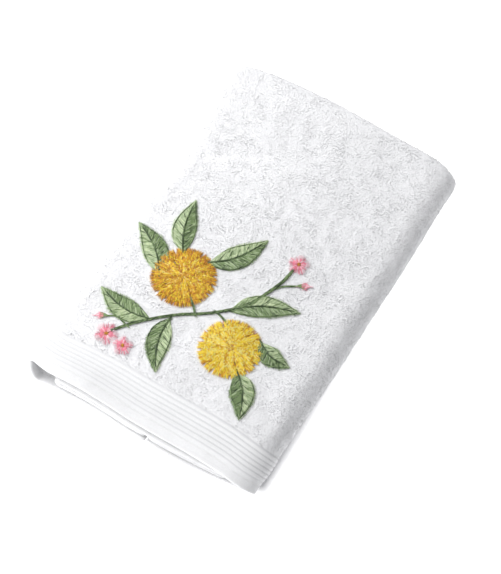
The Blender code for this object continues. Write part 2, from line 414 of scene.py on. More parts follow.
    def middle(self, across: Numbers, along: Numbers) -> Numbers:
        """Points of the cloth's middle surface.

        Args:
            across: places across.
            along: places along.

        Returns:
            The points, with x, y and z in the last axis.
        """
        outer = self.layer(across, np.minimum(along, self.half_length), False)
        inner = self.layer(across, np.minimum(self.length - along, self.half_length), True)
        turn = np.clip((along - self.half_length) / self.back_reach, 0, np.pi)[..., None]
        half_gap = (outer - inner) / 2
        reach = np.array([0.0, self.back_reach, 0.0])
        arc = (outer + inner) / 2 + half_gap * np.cos(turn) + reach * np.sin(turn)
        before_turn = (along <= self.half_length)[..., None]
        return np.where(before_turn, outer, np.where(turn >= np.pi, inner, arc))

    def facing(self, across: Numbers, along: Numbers) -> Numbers:
        """The directions out of the cloth's face, which is its outer side.

        Args:
            across: places across.
            along: places along.

        Returns:
            A unit vector for each place.
        """
        step, nudge = 0.02, 0.5
        before, after = np.maximum(across - step, 0.0), np.minimum(across + step, len(Run))
        sideways = self.middle(after, along) - self.middle(before, along)
        sideways[..., 1] = 0.0
        start, end = np.maximum(along - nudge, 0.0), np.minimum(along + nudge, self.length)
        lengthwise = self.middle(across, end) - self.middle(across, start)
        return unit(np.cross(sideways, lengthwise))

    def on_top(self, x: Numbers, y: Numbers) -> tuple[Numbers, Numbers]:
        """Where places on the top are on the cloth.

        Args:
            x: the places' x.
            y: their y.

        Returns:
            Their places across and along.
        """
        half = self.pile / 2
        fold = self.backs.read("y", x) - self.back_reach - half
        hem = self.fronts.read("top_hem", x)
        along = (y - hem) / (fold - hem) * self.half_length
        start = self.sides.read("left", y) + half + self.sides.read("left_above", y)
        end = self.sides.read("right", y) - half - self.sides.read("right_above", y)
        return Run.FACE.value + np.clip((x - start) / (end - start), 0, 1), along


class Spool(Enum):
    """The threads that the sprig and the hems are sewn with."""

    WHITE = "white"
    LEMON = "lemon"
    CREAM = "cream"
    AMBER = "amber"
    OCHRE = "ochre"
    RUST = "rust"
    SAGE = "sage"
    LEAF = "leaf"
    LIME = "lime"
    FOREST = "forest"
    ROSE = "rose"
    BLUSH = "blush"


@dataclass(frozen=True)
class Thread:
    """A spool's finish: its colour, its gloss and the record's slot for it."""

    spool: Spool
    colour: Colour
    slot: str
    roughness: float = 0.42


THREADS = (
    Thread(Spool.WHITE, (0.90, 0.90, 0.89), "thread_white", 0.7),
    Thread(Spool.LEMON, (0.92, 0.68, 0.045), "thread_yellow"),
    Thread(Spool.CREAM, (0.95, 0.80, 0.25), "thread_yellow"),
    Thread(Spool.AMBER, (0.72, 0.38, 0.015), "thread_gold"),
    Thread(Spool.OCHRE, (0.45, 0.19, 0.008), "thread_gold"),
    Thread(Spool.RUST, (0.60, 0.23, 0.04), "thread_gold"),
    Thread(Spool.SAGE, (0.43, 0.53, 0.31), "thread_green"),
    Thread(Spool.LEAF, (0.20, 0.29, 0.12), "thread_green"),
    Thread(Spool.LIME, (0.64, 0.73, 0.46), "thread_green"),
    Thread(Spool.FOREST, (0.038, 0.072, 0.020), "thread_green"),
    Thread(Spool.ROSE, (0.84, 0.27, 0.36), "thread_pink"),
    Thread(Spool.BLUSH, (0.94, 0.68, 0.72), "thread_pink"),
)
Mix = tuple[tuple[Spool, float], ...]


def blend(**shares: float) -> Mix:
    """A mix of threads, from the share of each by its spool's name."""
    return tuple((Spool(name), share) for name, share in shares.items())


@dataclass(frozen=True)
class Stitch:
    """One stitch on the top: its middle, its heading, its length and how high it lies."""

    x: float
    y: float
    heading: float
    length: float
    lift: float
    spool: Spool
    thickness: float = 0.62


@dataclass
class Needle:
    """Lays stitches, each a little unlike the last."""

    rng: np.random.Generator
    stitches: list[Stitch] = field(default_factory=list)

    LONGEST = 5.0
    OVERLAP = 0.5  # what a stitch is longer than its part of the line
    CUT_SWING = 0.25
    TURN_SWING = 0.05
    LIFT_SWING = 0.08

    def pick(self, mix: Mix) -> Spool:
        """A spool, picked at random by the weights of a mix."""
        weights = np.array([weight for _, weight in mix])
        return mix[self.rng.choice(len(mix), p=weights / weights.sum())][0]

    def lay(self, start: Numbers, end: Numbers, mix: Mix, lift: float) -> None:
        """Sews a straight line, in two or more stitches where it is long.

        Args:
            start: where the line starts, as x and y.
            end: where it ends.
            mix: the spools and their weights.
            lift: how high it lies over the padded cloth.
        """
        way = end - start
        length = float(np.linalg.norm(way))
        parts = max(1, math.ceil(length / self.LONGEST))
        swing = self.CUT_SWING
        shift = self.rng.uniform(-swing, swing) / parts if parts > 1 else 0.0
        cuts = np.clip(np.linspace(0, 1, parts + 1) + shift, 0, 1)
        cuts[0], cuts[-1] = 0.0, 1.0
        for low, high in zip(cuts, cuts[1:]):
            x, y = start + way * (low + high) / 2
            heading = math.atan2(way[1], way[0]) + float(self.rng.normal(0, self.TURN_SWING))
            long = length * float(high - low) + self.OVERLAP
            high_up = lift + float(self.rng.uniform(-self.LIFT_SWING, self.LIFT_SWING))
            self.stitches.append(
                Stitch(float(x), float(y), heading, long, high_up, self.pick(mix))
            )

    def dab(self, at: Numbers, way: Numbers, mix: Mix, lift: float) -> None:
        """Sews a short line that reaches the same way to both sides of its middle."""
        self.lay(at - way, at + way, mix, lift)


def curve_point(points: Numbers, share: float) -> Numbers:
    """A point of the smooth curve through given points.

    Args:
        points: the points in order.
        share: how far along the curve, as a share of its length.

    Returns:
        The point.
    """
    steps = np.linalg.norm(np.diff(points, axis=0), axis=1)
    knots = np.concatenate(([0.0], np.cumsum(steps))) / steps.sum()
    i = int(np.clip(np.searchsorted(knots, share, side="right") - 1, 0, len(points) - 2))
    t = (share - knots[i]) / (knots[i + 1] - knots[i])
    before = points[i - 1] if i > 0 else 2 * points[0] - points[1]
    after = points[i + 2] if i + 2 < len(points) else 2 * points[-1] - points[-2]
    a, b = points[i], points[i + 1]
    return 0.5 * (
        2 * a
        + (b - before) * t
        + (2 * before - 5 * a + 4 * b - after) * t**2
        + (3 * a - before - 3 * b + after) * t**3
    )


@dataclass
class Stem:
    """A sewn line of stem stitch through listed points."""

    points: Sequence[Place]
    width: float
    lift: float = 0.35
    mix: Mix = blend(forest=0.5, leaf=0.5)

    STRAND = 0.5  # from one strand to the next
    STEP = 1.5
    STAGGER = 0.33  # of a step, from one strand's stitches to the next one's
    STITCH = 3.6
    SLANT = 0.15
    AHEAD = 0.02  # how far ahead the line's direction is read, as a share of its length

    def sew(self, needle: Needle) -> None:
        """Sews the line, as strands side by side.

        Args:
            needle: what lays the stitches.
        """
        points = np.array(self.points, float)
        length = float(np.linalg.norm(np.diff(points, axis=0), axis=1).sum())
        strands = max(1, round(self.width / self.STRAND))
        for strand in range(strands):
            aside = (strand - (strands - 1) / 2) * self.STRAND
            for k in range(int(length / self.STEP)):
                share = (k + self.STAGGER * (strand % 3)) * self.STEP / length
                share = min(share, 1 - self.AHEAD)
                here = curve_point(points, share)
                way = unit(curve_point(points, share + self.AHEAD) - here)
                side = left_of(way)
                start = here + side * (aside - self.SLANT) - way * self.STITCH / 2
                end = here + side * (aside + self.SLANT) + way * self.STITCH / 2
                needle.lay(start, end, self.mix, self.lift)


@dataclass
class Leaf:
    """A leaf of slanted satin stitch on both sides of a dark midrib."""

    base: Place
    tip: Place
    width: float
    bow: float
    light: Mix = blend(sage=0.58, lime=0.28, leaf=0.14)
    dark: Mix = blend(leaf=0.62, sage=0.26, forest=0.12)
    edging: Mix = blend(forest=0.45, leaf=0.55)
    rib: Mix = blend(forest=0.8, leaf=0.2)

    SPACING = 0.55
    SLANT = 0.16  # how far a stitch runs towards the tip, as a share of the leaf
    FULLEST = 0.8  # below 1 the leaf is widest nearer its base
    NEAR = 0.004  # how near the places are that the midrib's direction is read from
    VEINS = (0.14, 0.78, 0.15)  # where the side veins start, where they stop, and their step
    VEIN_REACH = 0.12

    def midrib(self, t: Numbers) -> Numbers:
        """Points of the midrib.

        Args:
            t: how far along it, from 0 at the base to 1 at the tip.

        Returns:
            The points.
        """
        base, tip = np.array(self.base), np.array(self.tip)
        way = tip - base
        side = left_of(way) / np.linalg.norm(way)
        t = np.asarray(t)[..., None]
        return base + way * t + side * self.bow * np.sin(np.pi * t) * (1 - 0.35 * t)

    def edge(self, t: float, side: float) -> Numbers:
        """A point of the leaf's edge.

        Args:
            t: how far along the midrib.
            side: 1 for the edge to the left and -1 for the one to the right.

        Returns:
            The point.
        """
        way = unit(self.midrib(t + self.NEAR) - self.midrib(t - self.NEAR))
        half = self.width / 2 * math.sin(math.pi * t**self.FULLEST)
        return self.midrib(t) + left_of(way) * side * half

    def sew(self, needle: Needle) -> None:
        """Sews both sides with their veins, then the edging, and then the midrib.

        Args:
            needle: what lays the stitches.
        """
        length = float(np.linalg.norm(np.array(self.tip) - np.array(self.base)))
        steps = int(length / self.SPACING)
        for side, mix in ((1, self.light), (-1, self.dark)):
            for k in range(steps):
                t = (k + 0.5) / steps
                start, far = self.midrib(t), min(t + self.SLANT * (1 - 0.6 * t), 0.99)
                ragged = 1 + float(needle.rng.uniform(-0.06, 0.03))
                end = self.midrib(far) + (self.edge(far, side) - self.midrib(far)) * ragged
                needle.lay(start, end, mix, 0.15)
            for t in np.arange(*self.VEINS):
                far = t + self.VEIN_REACH
                vein = self.midrib(far) * 0.3 + self.edge(far, side) * 0.7
                needle.lay(self.midrib(t), vein, self.edging, 0.5)
        for side, first in ((-1, 0.04), (1, 0.3)):
            points = [tuple(self.edge(t, side)) for t in np.linspace(first, 0.985, 9)]
            Stem(points, 0.6, 0.45, self.edging).sew(needle)
        points = [tuple(point) for point in self.midrib(np.linspace(0, 0.93, 7))]
        Stem(points, 1.0, 0.6, self.rib).sew(needle)


@dataclass
class Ring:
    """One ring of petals: where they start and end, how many there are and their threads."""

    start: float
    end: float
    count: int
    lift: float
    body: Mix
    rim: Mix
    turned: float


@dataclass
class Bloom:
    """A round full flower of many small petals, sewn ring on ring with small stitches."""

    x: float
    y: float
    radius: float
    shades: Sequence[Mix]  # of the petals, from the outermost ring in
    rims: Sequence[Mix]
    specks: Mix
    heart: Mix = blend(rust=0.5, ochre=0.5)

    SPACING = 0.62
    SPECKS = 0.85  # short stitches scattered over the petals, for each square of the radius
    SPECK = 0.6  # half the length of one
    KNOT = 0.5  # half the length of a knot of the heart
    STITCH = 3.0
    ROW = 2.2
    PETAL = 0.27  # the length of a petal, as a share of the radius
    STEP = 0.15  # from one ring to the next
    INNERMOST = 0.24
    ACROSS = 6.4  # about how wide a petal is
    RISE = 0.32  # of each ring over the last

    def rings(self) -> Iterator[Ring]:
        """The rings from the outermost in, each a little higher than the last."""
        end, k = 1.0, 0
        while end > self.INNERMOST:
            start = max(end - self.PETAL, 0.02)
            round_it = 2 * math.pi * (end + start) / 2 * self.radius
            count = max(5, round(round_it / self.ACROSS))
            shade, rim = (mixes[min(k, len(mixes) - 1)] for mixes in (self.shades, self.rims))
            yield Ring(start, end, count, 0.15 + self.RISE * k, shade, rim, 0.5 * (k % 2))
            end, k = end - self.STEP, k + 1

    def sew(self, needle: Needle) -> None:
        """Sews the rings from the outermost in, then the specks, and then the heart's knots.

        Args:
            needle: what lays the stitches.
        """
        for ring in self.rings():
            for petal in range(ring.count):
                heading = 2 * math.pi * (petal + ring.turned) / ring.count
                self.sew_petal(needle, ring, heading + float(needle.rng.normal(0, 0.03)))
        centre = np.array([self.x, self.y])
        for _ in range(int(self.radius**2 * self.SPECKS)):
            reach = 0.95 * math.sqrt(needle.rng.uniform(0.03, 1.0))
            angle, heading = needle.rng.uniform(0, 2 * math.pi, 2)
            at = centre + towards(angle) * reach * self.radius
            needle.dab(at, towards(heading) * self.SPECK, self.specks, 0.75 + 2.0 * (1 - reach))
        knots = int(self.radius * 1.2)
        for k in range(knots):
            angle = k * math.pi * (3 - math.sqrt(5))
            reach = self.radius * 0.13 * math.sqrt((k + 0.5) / knots)
            at = centre + towards(angle) * reach
            needle.dab(at, towards(angle * 2) * self.KNOT, self.heart, 2.2)

    def sew_petal(self, needle: Needle, ring: Ring, heading: float) -> None:
        """Sews one petal with rows of short stitches that run out from the centre.

        Args:
            needle: what lays the stitches.
            ring: the ring that the petal belongs to.
            heading: the petal's direction from the centre.
        """
        start, end = ring.start * self.radius, ring.end * self.radius
        widest = math.tan(math.pi / ring.count) * (start + end) / 2 * 1.12
        out = towards(heading)
        side = left_of(out)
        centre = np.array([self.x, self.y])
        rows = max(2, math.ceil((end - start) / self.ROW))
        for row in range(rows):
            reach = start + (end - start) * (row + 0.5) / rows
            share = (reach - start) / (end - start)
            half = widest * math.sqrt(max(1 - (2 * abs(share - 0.5)) ** 2.6, 0.05))
            half *= 0.72 + 0.28 * share
            strands = max(1, round(2 * half / self.SPACING))
            for strand in range(strands):
                aside = (strand + 0.5) / strands * 2 - 1
                near_rim = abs(aside) > 0.72 or share > 0.9
                at = centre + out * reach + side * aside * half
                at = at + needle.rng.normal(0, 0.12, 2)
                way = unit(out + side * aside * 0.28)
                stitch = self.STITCH * float(needle.rng.uniform(0.8, 1.15))
                lift = ring.lift + 0.35 * (1 - aside * aside)
                mix = ring.rim if near_rim else ring.body
                needle.dab(at, way * stitch / 2, mix, lift)


@dataclass
class Blossom:
    """A small flower of five round petals, with gold knots at its heart."""

    x: float
    y: float
    radius: float
    turned: float

    PETALS = 5
    STRANDS = 9
    KNOTS = 6  # in a ring around one more
    KNOT = 0.4  # half the length of a knot
    INNER = blend(rose=0.8, blush=0.2)
    OUTER = blend(blush=0.7, rose=0.3)
    HEART = blend(amber=0.7, rust=0.3)

    def sew(self, needle: Needle) -> None:
        """Sews the petals as fans of satin stitch, and then the heart.

        Args:
            needle: what lays the stitches.
        """
        centre = np.array([self.x, self.y])
        for petal in range(self.PETALS):
            out = towards(2 * math.pi * (petal + self.turned) / self.PETALS)
            side = left_of(out)
            for aside in np.linspace(-1, 1, self.STRANDS):
                reach = self.radius * math.sqrt(1 - 0.55 * aside * aside)
                start = centre + out * self.radius * 0.22 + side * aside * self.radius * 0.10
                end = centre + out * reach + side * aside * self.radius * 0.46
                turn = start + (end - start) * 0.55
                needle.lay(start, turn, self.INNER, 0.45)
                needle.lay(turn, end, self.OUTER, 0.35)
        for k in range(self.KNOTS + 1):
            way = towards(2 * math.pi * k / self.KNOTS)
            reach = 0.0 if k == self.KNOTS else self.radius * 0.13
            needle.dab(centre + reach * way, way * self.KNOT, self.HEART, 0.9)


@dataclass
class Bud:
    """A closed bud: a drop of pink satin stitch in a green cup."""

    base: Place
    tip: Place
    width: float

    STRANDS = 8
    LOWER = blend(rose=0.7, blush=0.3)
    UPPER = blend(rose=0.45, blush=0.55)
    CUP = blend(leaf=1.0)

    def sew(self, needle: Needle) -> None:
        """Sews the drop strand by strand, and the cup over the foot of each.

        Args:
            needle: what lays the stitches.
        """
        base, tip = np.array(self.base), np.array(self.tip)
        way = unit(tip - base)
        side = left_of(way)
        length = float(np.linalg.norm(tip - base))
        for aside in np.linspace(-1, 1, self.STRANDS):
            bulge = side * aside * self.width / 2
            middle = base + way * length * 0.5 + bulge
            needle.lay(base + bulge * 0.3, middle, self.LOWER, 0.4)
            end = tip + bulge * 0.15 - way * abs(aside) * length * 0.12
            needle.lay(middle, end, self.UPPER, 0.45)
            cup = base + way * length * 0.3 + bulge * 0.8
            needle.lay(base - way * 1.2 + bulge * 0.15, cup, self.CUP, 0.75)


class Sprig:
    """The embroidery: two round blooms, small blossoms and buds on a leafy stem."""

    CELL = 0.5  # of the plan that says where the embroidery covers the cloth
    REACH = 130.0  # half the side of that plan
    CELLS = int(2 * REACH / CELL)
    SOFTENINGS = 3

    def __init__(self, seed: int = 41) -> None:
        """Sews every motif, lowest first.

        Args:
            seed: of the small differences between stitches.
        """
        needle = Needle(np.random.default_rng(seed))
        for motif in self.motifs():
            motif.sew(needle)
        self.stitches = needle.stitches
        self.plan = self.draw_plan()
        self.pad = self.soften(self.plan)

    @staticmethod
    def motifs() -> Iterator[Union[Stem, Leaf, Bloom, Blossom, Bud]]:
        """The motifs in the order that they are sewn."""
        golden = (
            blend(amber=0.55, lemon=0.15, ochre=0.30),
            blend(amber=0.60, lemon=0.25, ochre=0.15),
            blend(amber=0.50, lemon=0.35, cream=0.15),
        )
        yellow = (
            blend(lemon=0.65, amber=0.25, cream=0.10),
            blend(lemon=0.72, cream=0.20, amber=0.08),
            blend(lemon=0.60, cream=0.34, amber=0.06),
        )
        golden_rims = (blend(ochre=0.8, rust=0.2), blend(ochre=0.7, amber=0.3))
        yellow_rims = (blend(rust=0.5, amber=0.5), blend(amber=0.8, lemon=0.2))
        golden_specks = blend(lemon=0.35, rust=0.30, amber=0.35)
        yellow_specks = blend(cream=0.40, amber=0.30, lemon=0.30)
        yield Leaf((-42, -82), (-87, -76), 17, 5)
        yield Leaf((-28, -74), (-16, -117), 17, -5)
        yield Leaf((-54, -46), (-90, -14), 18, -5)
        yield Leaf((-48, -20), (-62, 24), 17, 4)
        yield Leaf((-26, -18), (4, 20), 18, -5)
        yield Leaf((8, -46), (55, -22), 17, 5)
        yield Leaf((38, -88), (58, -121), 17, 4)
        yield Leaf((42, -58), (70, -66), 14, -4)
        main_stem = [(-62, -104), (-48, -88), (-26, -69), (0, -52), (18, -34), (30, -8), (34, 10)]
        yield Stem(main_stem, 2.0)
        yield Stem([(-14, -61), (-20, -54), (-28, -48)], 1.5)
        yield Stem([(0, -52), (10, -56), (18, -64)], 1.5)
        yield Stem([(-54, -95), (-64, -92), (-72, -95)], 1.0)
        yield Stem([(27, -16), (34, -8), (44, -2)], 1.0)
        yield Bloom(-37, -38, 24.0, golden, golden_rims, golden_specks)
        yield Bloom(24, -74, 23.0, yellow, yellow_rims, yellow_specks)
        yield Blossom(-64, -108, 8.4, 0.2)
        yield Blossom(-48, -111, 7.0, 0.55)
        yield Blossom(35, 14, 7.6, 0.4)
        yield Bud((-72, -95), (-80, -99), 4.6)
        yield Bud((44, -2), (52, 2), 4.8)

    def cells(self, x: Numbers, y: Numbers) -> tuple[Numbers, Numbers]:
        """The plan's cells that hold those places."""
        cells = (((n + self.REACH) / self.CELL).astype(int) for n in (x, y))
        return tuple(np.clip(cell, 0, self.CELLS - 1) for cell in cells)

    def draw_plan(self) -> Numbers:
        """Marks the cells that stitches cover."""
        plan = np.zeros((self.CELLS, self.CELLS), bool)
        for share in np.linspace(-0.5, 0.5, 9):
            x = np.array([s.x + math.cos(s.heading) * s.length * share for s in self.stitches])
            y = np.array([s.y + math.sin(s.heading) * s.length * share for s in self.stitches])
            plan[self.cells(x, y)] = True
        return plan

    def soften(self, plan: Numbers) -> Numbers:
        """Softens the plan's edges, for the padding under the stitches.

        Args:
            plan: the cells that stitches cover.

        Returns:
            How far each cell is filled, from 0 to 1.
        """
        soft = plan.astype(float)
        for _ in range(self.SOFTENINGS):
            for axis in (0, 1):
                soft = (np.roll(soft, 1, axis) + soft + np.roll(soft, -1, axis)) / 3
        return soft

    def covers(self, x: Numbers, y: Numbers) -> Numbers:
        """Whether the embroidery covers those places on the top."""
        return self.plan[self.cells(x, y)]

    def padding(self, x: Numbers, y: Numbers) -> Numbers:
        """How far the cloth is filled under the stitches, from 0 to 1."""
        return self.pad[self.cells(x, y)]


class Value:
    """A node's output that adds its Math nodes as it is used in an expression."""

    def __init__(self, board: "Board", socket: bpy.types.NodeSocket) -> None:
        """Wraps a socket of the board's tree."""
        self.board = board
        self.socket = socket

    def __add__(self, other: "Number") -> "Value":
        """This value plus another."""
        return self.board.maths("ADD", self, other)

    def __sub__(self, other: "Number") -> "Value":
        """This value less another."""
        return self.board.maths("SUBTRACT", self, other)

    def __rsub__(self, other: "Number") -> "Value":
        """A number less this value."""
        return self.board.maths("SUBTRACT", other, self)

    def __mul__(self, other: "Number") -> "Value":
        """This value times another."""
        return self.board.maths("MULTIPLY", self, other)


Number = Union[Value, float]


class Board:
    """A node tree that is being wired."""

    def __init__(self, tree: bpy.types.NodeTree) -> None:
        """Takes a tree and empties it."""
        self.tree = tree
        tree.nodes.clear()

    def node(
        self, kind: str, sockets: Optional[Sockets] = None, **settings: Any
    ) -> bpy.types.Node:
        """Adds a node.

        Args:
            kind: the node's type.
            sockets: the value or the link of each input, by name or number.
            settings: its own settings, which are set first.

        Returns:
            The node.
        """
        node = self.tree.nodes.new(kind)
        for name, value in settings.items():
            setattr(node, name, value)
        for name, value in (sockets or {}).items():
            source = value.socket if isinstance(value, Value) else value
            if isinstance(source, bpy.types.NodeSocket):
                self.tree.links.new(source, node.inputs[name])
            else:
                node.inputs[name].default_value = source
        return node

    def value(
        self, kind: str, sockets: Optional[Sockets] = None, output: Union[str, int] = 0,
        **settings: Any,
    ) -> Value:
        """Adds a node and returns one of its outputs as a value."""
        return Value(self, self.node(kind, sockets, **settings).outputs[output])

    def maths(self, operation: str, *values: Number) -> Value:
        """Adds a Math node for the values."""
        return self.value("ShaderNodeMath", dict(enumerate(values)), operation=operation)

    def vector(self, operation: str, *values: Any) -> Value:
        """Adds a Vector Math node for the values."""
        return self.value("ShaderNodeVectorMath", dict(enumerate(values)), operation=operation)

    def split(self, vector: Value) -> list[Value]:
        """The three numbers of a vector."""
        parts = self.node("ShaderNodeSeparateXYZ", {0: vector})
        return [Value(self, output) for output in parts.outputs]


class Finish(Board):
    """A material that is being made: a Principled surface and what feeds it."""

    def __init__(
        self, name: str, roughness: float, sheen: float = 0.0, others: Optional[Sockets] = None
    ) -> None:
        """Makes the material.

        Args:
            name: the material's name.
            roughness: the same all over the surface.
            sheen: how strong the soft glow of its fibres is.
            others: values of the surface's other inputs.
        """
        self.material = bpy.data.materials.new(name)
        self.material.use_nodes = True
        super().__init__(self.material.node_tree)
        inputs = {"Roughness": roughness, "Sheen Weight": sheen, **(others or {})}
        self.surface = self.node("ShaderNodeBsdfPrincipled", inputs)
        self.node("ShaderNodeOutputMaterial", {"Surface": self.surface.outputs[0]})

    def place(self) -> Value:
        """The place on the piece, in metres."""
        return self.value("ShaderNodeTexCoord", output="Object")

    def attribute(self, name: str) -> Value:
        """One of the piece's own attributes."""
        return self.value("ShaderNodeAttribute", output="Vector", attribute_name=name)

    def noise(self, place: Value, period: float, detail: float = 2.0) -> Value:
        """Soft noise from 0 to 1, whose patches are about a period wide, in metres."""
        sockets = {"Vector": place, "Scale": 1 / period, "Detail": detail}
        return self.value("ShaderNodeTexNoise", sockets, "Fac")

    def paint(
        self, low: Colour, high: Colour, share: Value, socket: str = "Base Color"
    ) -> None:
        """Colours one of the surface's inputs between two colours by a share."""
        sockets = {0: share, 6: (*low, 1.0), 7: (*high, 1.0)}
        mixed = self.value("ShaderNodeMix", sockets, 2, data_type="RGBA", clamp_factor=True)
        self.tree.links.new(mixed.socket, self.surface.inputs[socket])

    def emboss(self, height: Value, depth: float, strength: float) -> None:
        """Raises the surface by a height, whose full depth is in metres."""
        sockets = {"Height": height, "Distance": depth, "Strength": strength}
        bump = self.node("ShaderNodeBump", sockets)
        self.tree.links.new(bump.outputs["Normal"], self.surface.inputs["Normal"])


@dataclass(frozen=True)
class TerryFinish:
    """White cotton pile, a little greyer and a little whiter in patches."""

    low: Colour = (0.66, 0.66, 0.67)
    high: Colour = (0.89, 0.89, 0.90)
    glow: float = 0.35  # how much of the light soaks through the yarn
    soak: float = 0.0015  # how far it soaks, in metres
    patch: float = 0.012
    grain: float = 0.0024
    fibre: float = 0.0007

    def material(self, name: str) -> bpy.types.Material:
        """Makes the material.

        Args:
            name: the material's name.

        Returns:
            The material.
        """
        soaking = {
            "Subsurface Weight": self.glow,
            "Subsurface Scale": self.soak,
            "Subsurface Radius": (1.0, 1.0, 1.0),
        }
        finish = Finish(name, 0.95, 0.1, soaking)
        place = finish.place()
        patches = finish.noise(place, self.patch) * 0.25 + finish.noise(place, self.grain) * 0.75
        finish.paint(self.low, self.high, patches * 1.2)
        finish.emboss(finish.noise(place, self.fibre, 3.0), 0.0004, 0.7)
        return finish.material


@dataclass(frozen=True)
class WovenFinish:
    """Flat white weave of fine ends and picks, darker in the furrows between the ribs: painted
    shade, and a little of the weave's own difference there. Its attribute flat holds the place
    on the flat cloth and how deep in a furrow's painted shade that is."""

    pick: float = 0.75  # the distance between picks and between ends
    fibre: float = 0.0012
    low: Colour = (0.58, 0.58, 0.59)
    high: Colour = (0.86, 0.86, 0.865)

    def material(self, name: str) -> bpy.types.Material:
        """Makes the material.

        Args:
            name: the material's name.

        Returns:
            The material.
        """
        finish = Finish(name, 0.88, 0.15)
        across, along, furrow_shade = finish.split(finish.attribute("flat"))
        turns = 2 * math.pi / self.pick
        ends, picks = (finish.maths("SINE", place * turns) for place in (across, along))
        weave = ends * picks * 0.25 + 0.5
        fibre = finish.noise(finish.place(), self.fibre, 3.0)
        # painted shade: the weave's colour is darkened in the furrows beside the ribs
        shade = (weave * 0.3 + fibre * 0.4 + 0.3) * (1.0 - furrow_shade)
        finish.paint(self.low, self.high, shade)
        finish.emboss(weave * 0.7 + fibre * 0.3, 0.00022, 0.8)
        return finish.material


@dataclass(frozen=True)
class ThreadFinish:
    """Smooth twisted thread, a little darker in the furrows of its twist as painted shade."""

    thread: Thread
    patch: float = 0.0022
    darkest: float = 0.78  # times the thread's own colour, and the lightest too
    lightest: float = 1.12

    def material(self) -> bpy.types.Material:
        """Makes the material."""
        finish = Finish(f"thread_{self.thread.spool.value}", self.thread.roughness, 0.1)
        shade = finish.noise(finish.place(), self.patch)
        low, high = (
            tuple(min(channel * times, 1.0) for channel in self.thread.colour)
            for times in (self.darkest, self.lightest)
        )
        way, side, _ = finish.split(finish.attribute("local"))
        twist_and_shade = finish.maths("SINE", way * 40.0 + side * 6.0) * 0.5 + 0.5
        # painted shade: the twist's furrows darken the colour, among random patches of tone
        finish.paint(low, high, shade * 0.7 + twist_and_shade * 0.3)
        finish.emboss(twist_and_shade, 0.00012, 0.7)
        return finish.material


@dataclass
class Points:
    """Points to grow things on: places in millimetres, and what each thing needs to know."""

    places: Numbers
    first_axis: Numbers
    second_axis: Numbers
    scale: Numbers
    patch: Numbers

    WORKING = ("first_axis", "second_axis", "scale", "patch")

    @classmethod
    def joined(cls, sets: Sequence["Points"]) -> "Points":
        """The points of several sets in one."""
        names = ("places", *cls.WORKING)
        return cls(*(np.concatenate([getattr(each, name) for each in sets]) for name in names))

    def as_object(self, name: str) -> bpy.types.Object:
        """Makes an object of bare points with their attributes.

        Args:
            name: the object's name.

        Returns:
            The object, in the scene.
        """
        mesh = bpy.data.meshes.new(name + "_points")
        mesh.vertices.add(len(self.places))
        places = (self.places - CENTRE) * METRES
        mesh.vertices.foreach_set("co", places.astype(np.float32).ravel())
        for attribute in self.WORKING:
            layer = mesh.attributes.new(attribute, "FLOAT_VECTOR", "POINT")
            values = np.ascontiguousarray(getattr(self, attribute), np.float32)
            layer.data.foreach_set("vector", values.ravel())
        return add_object(name, mesh)


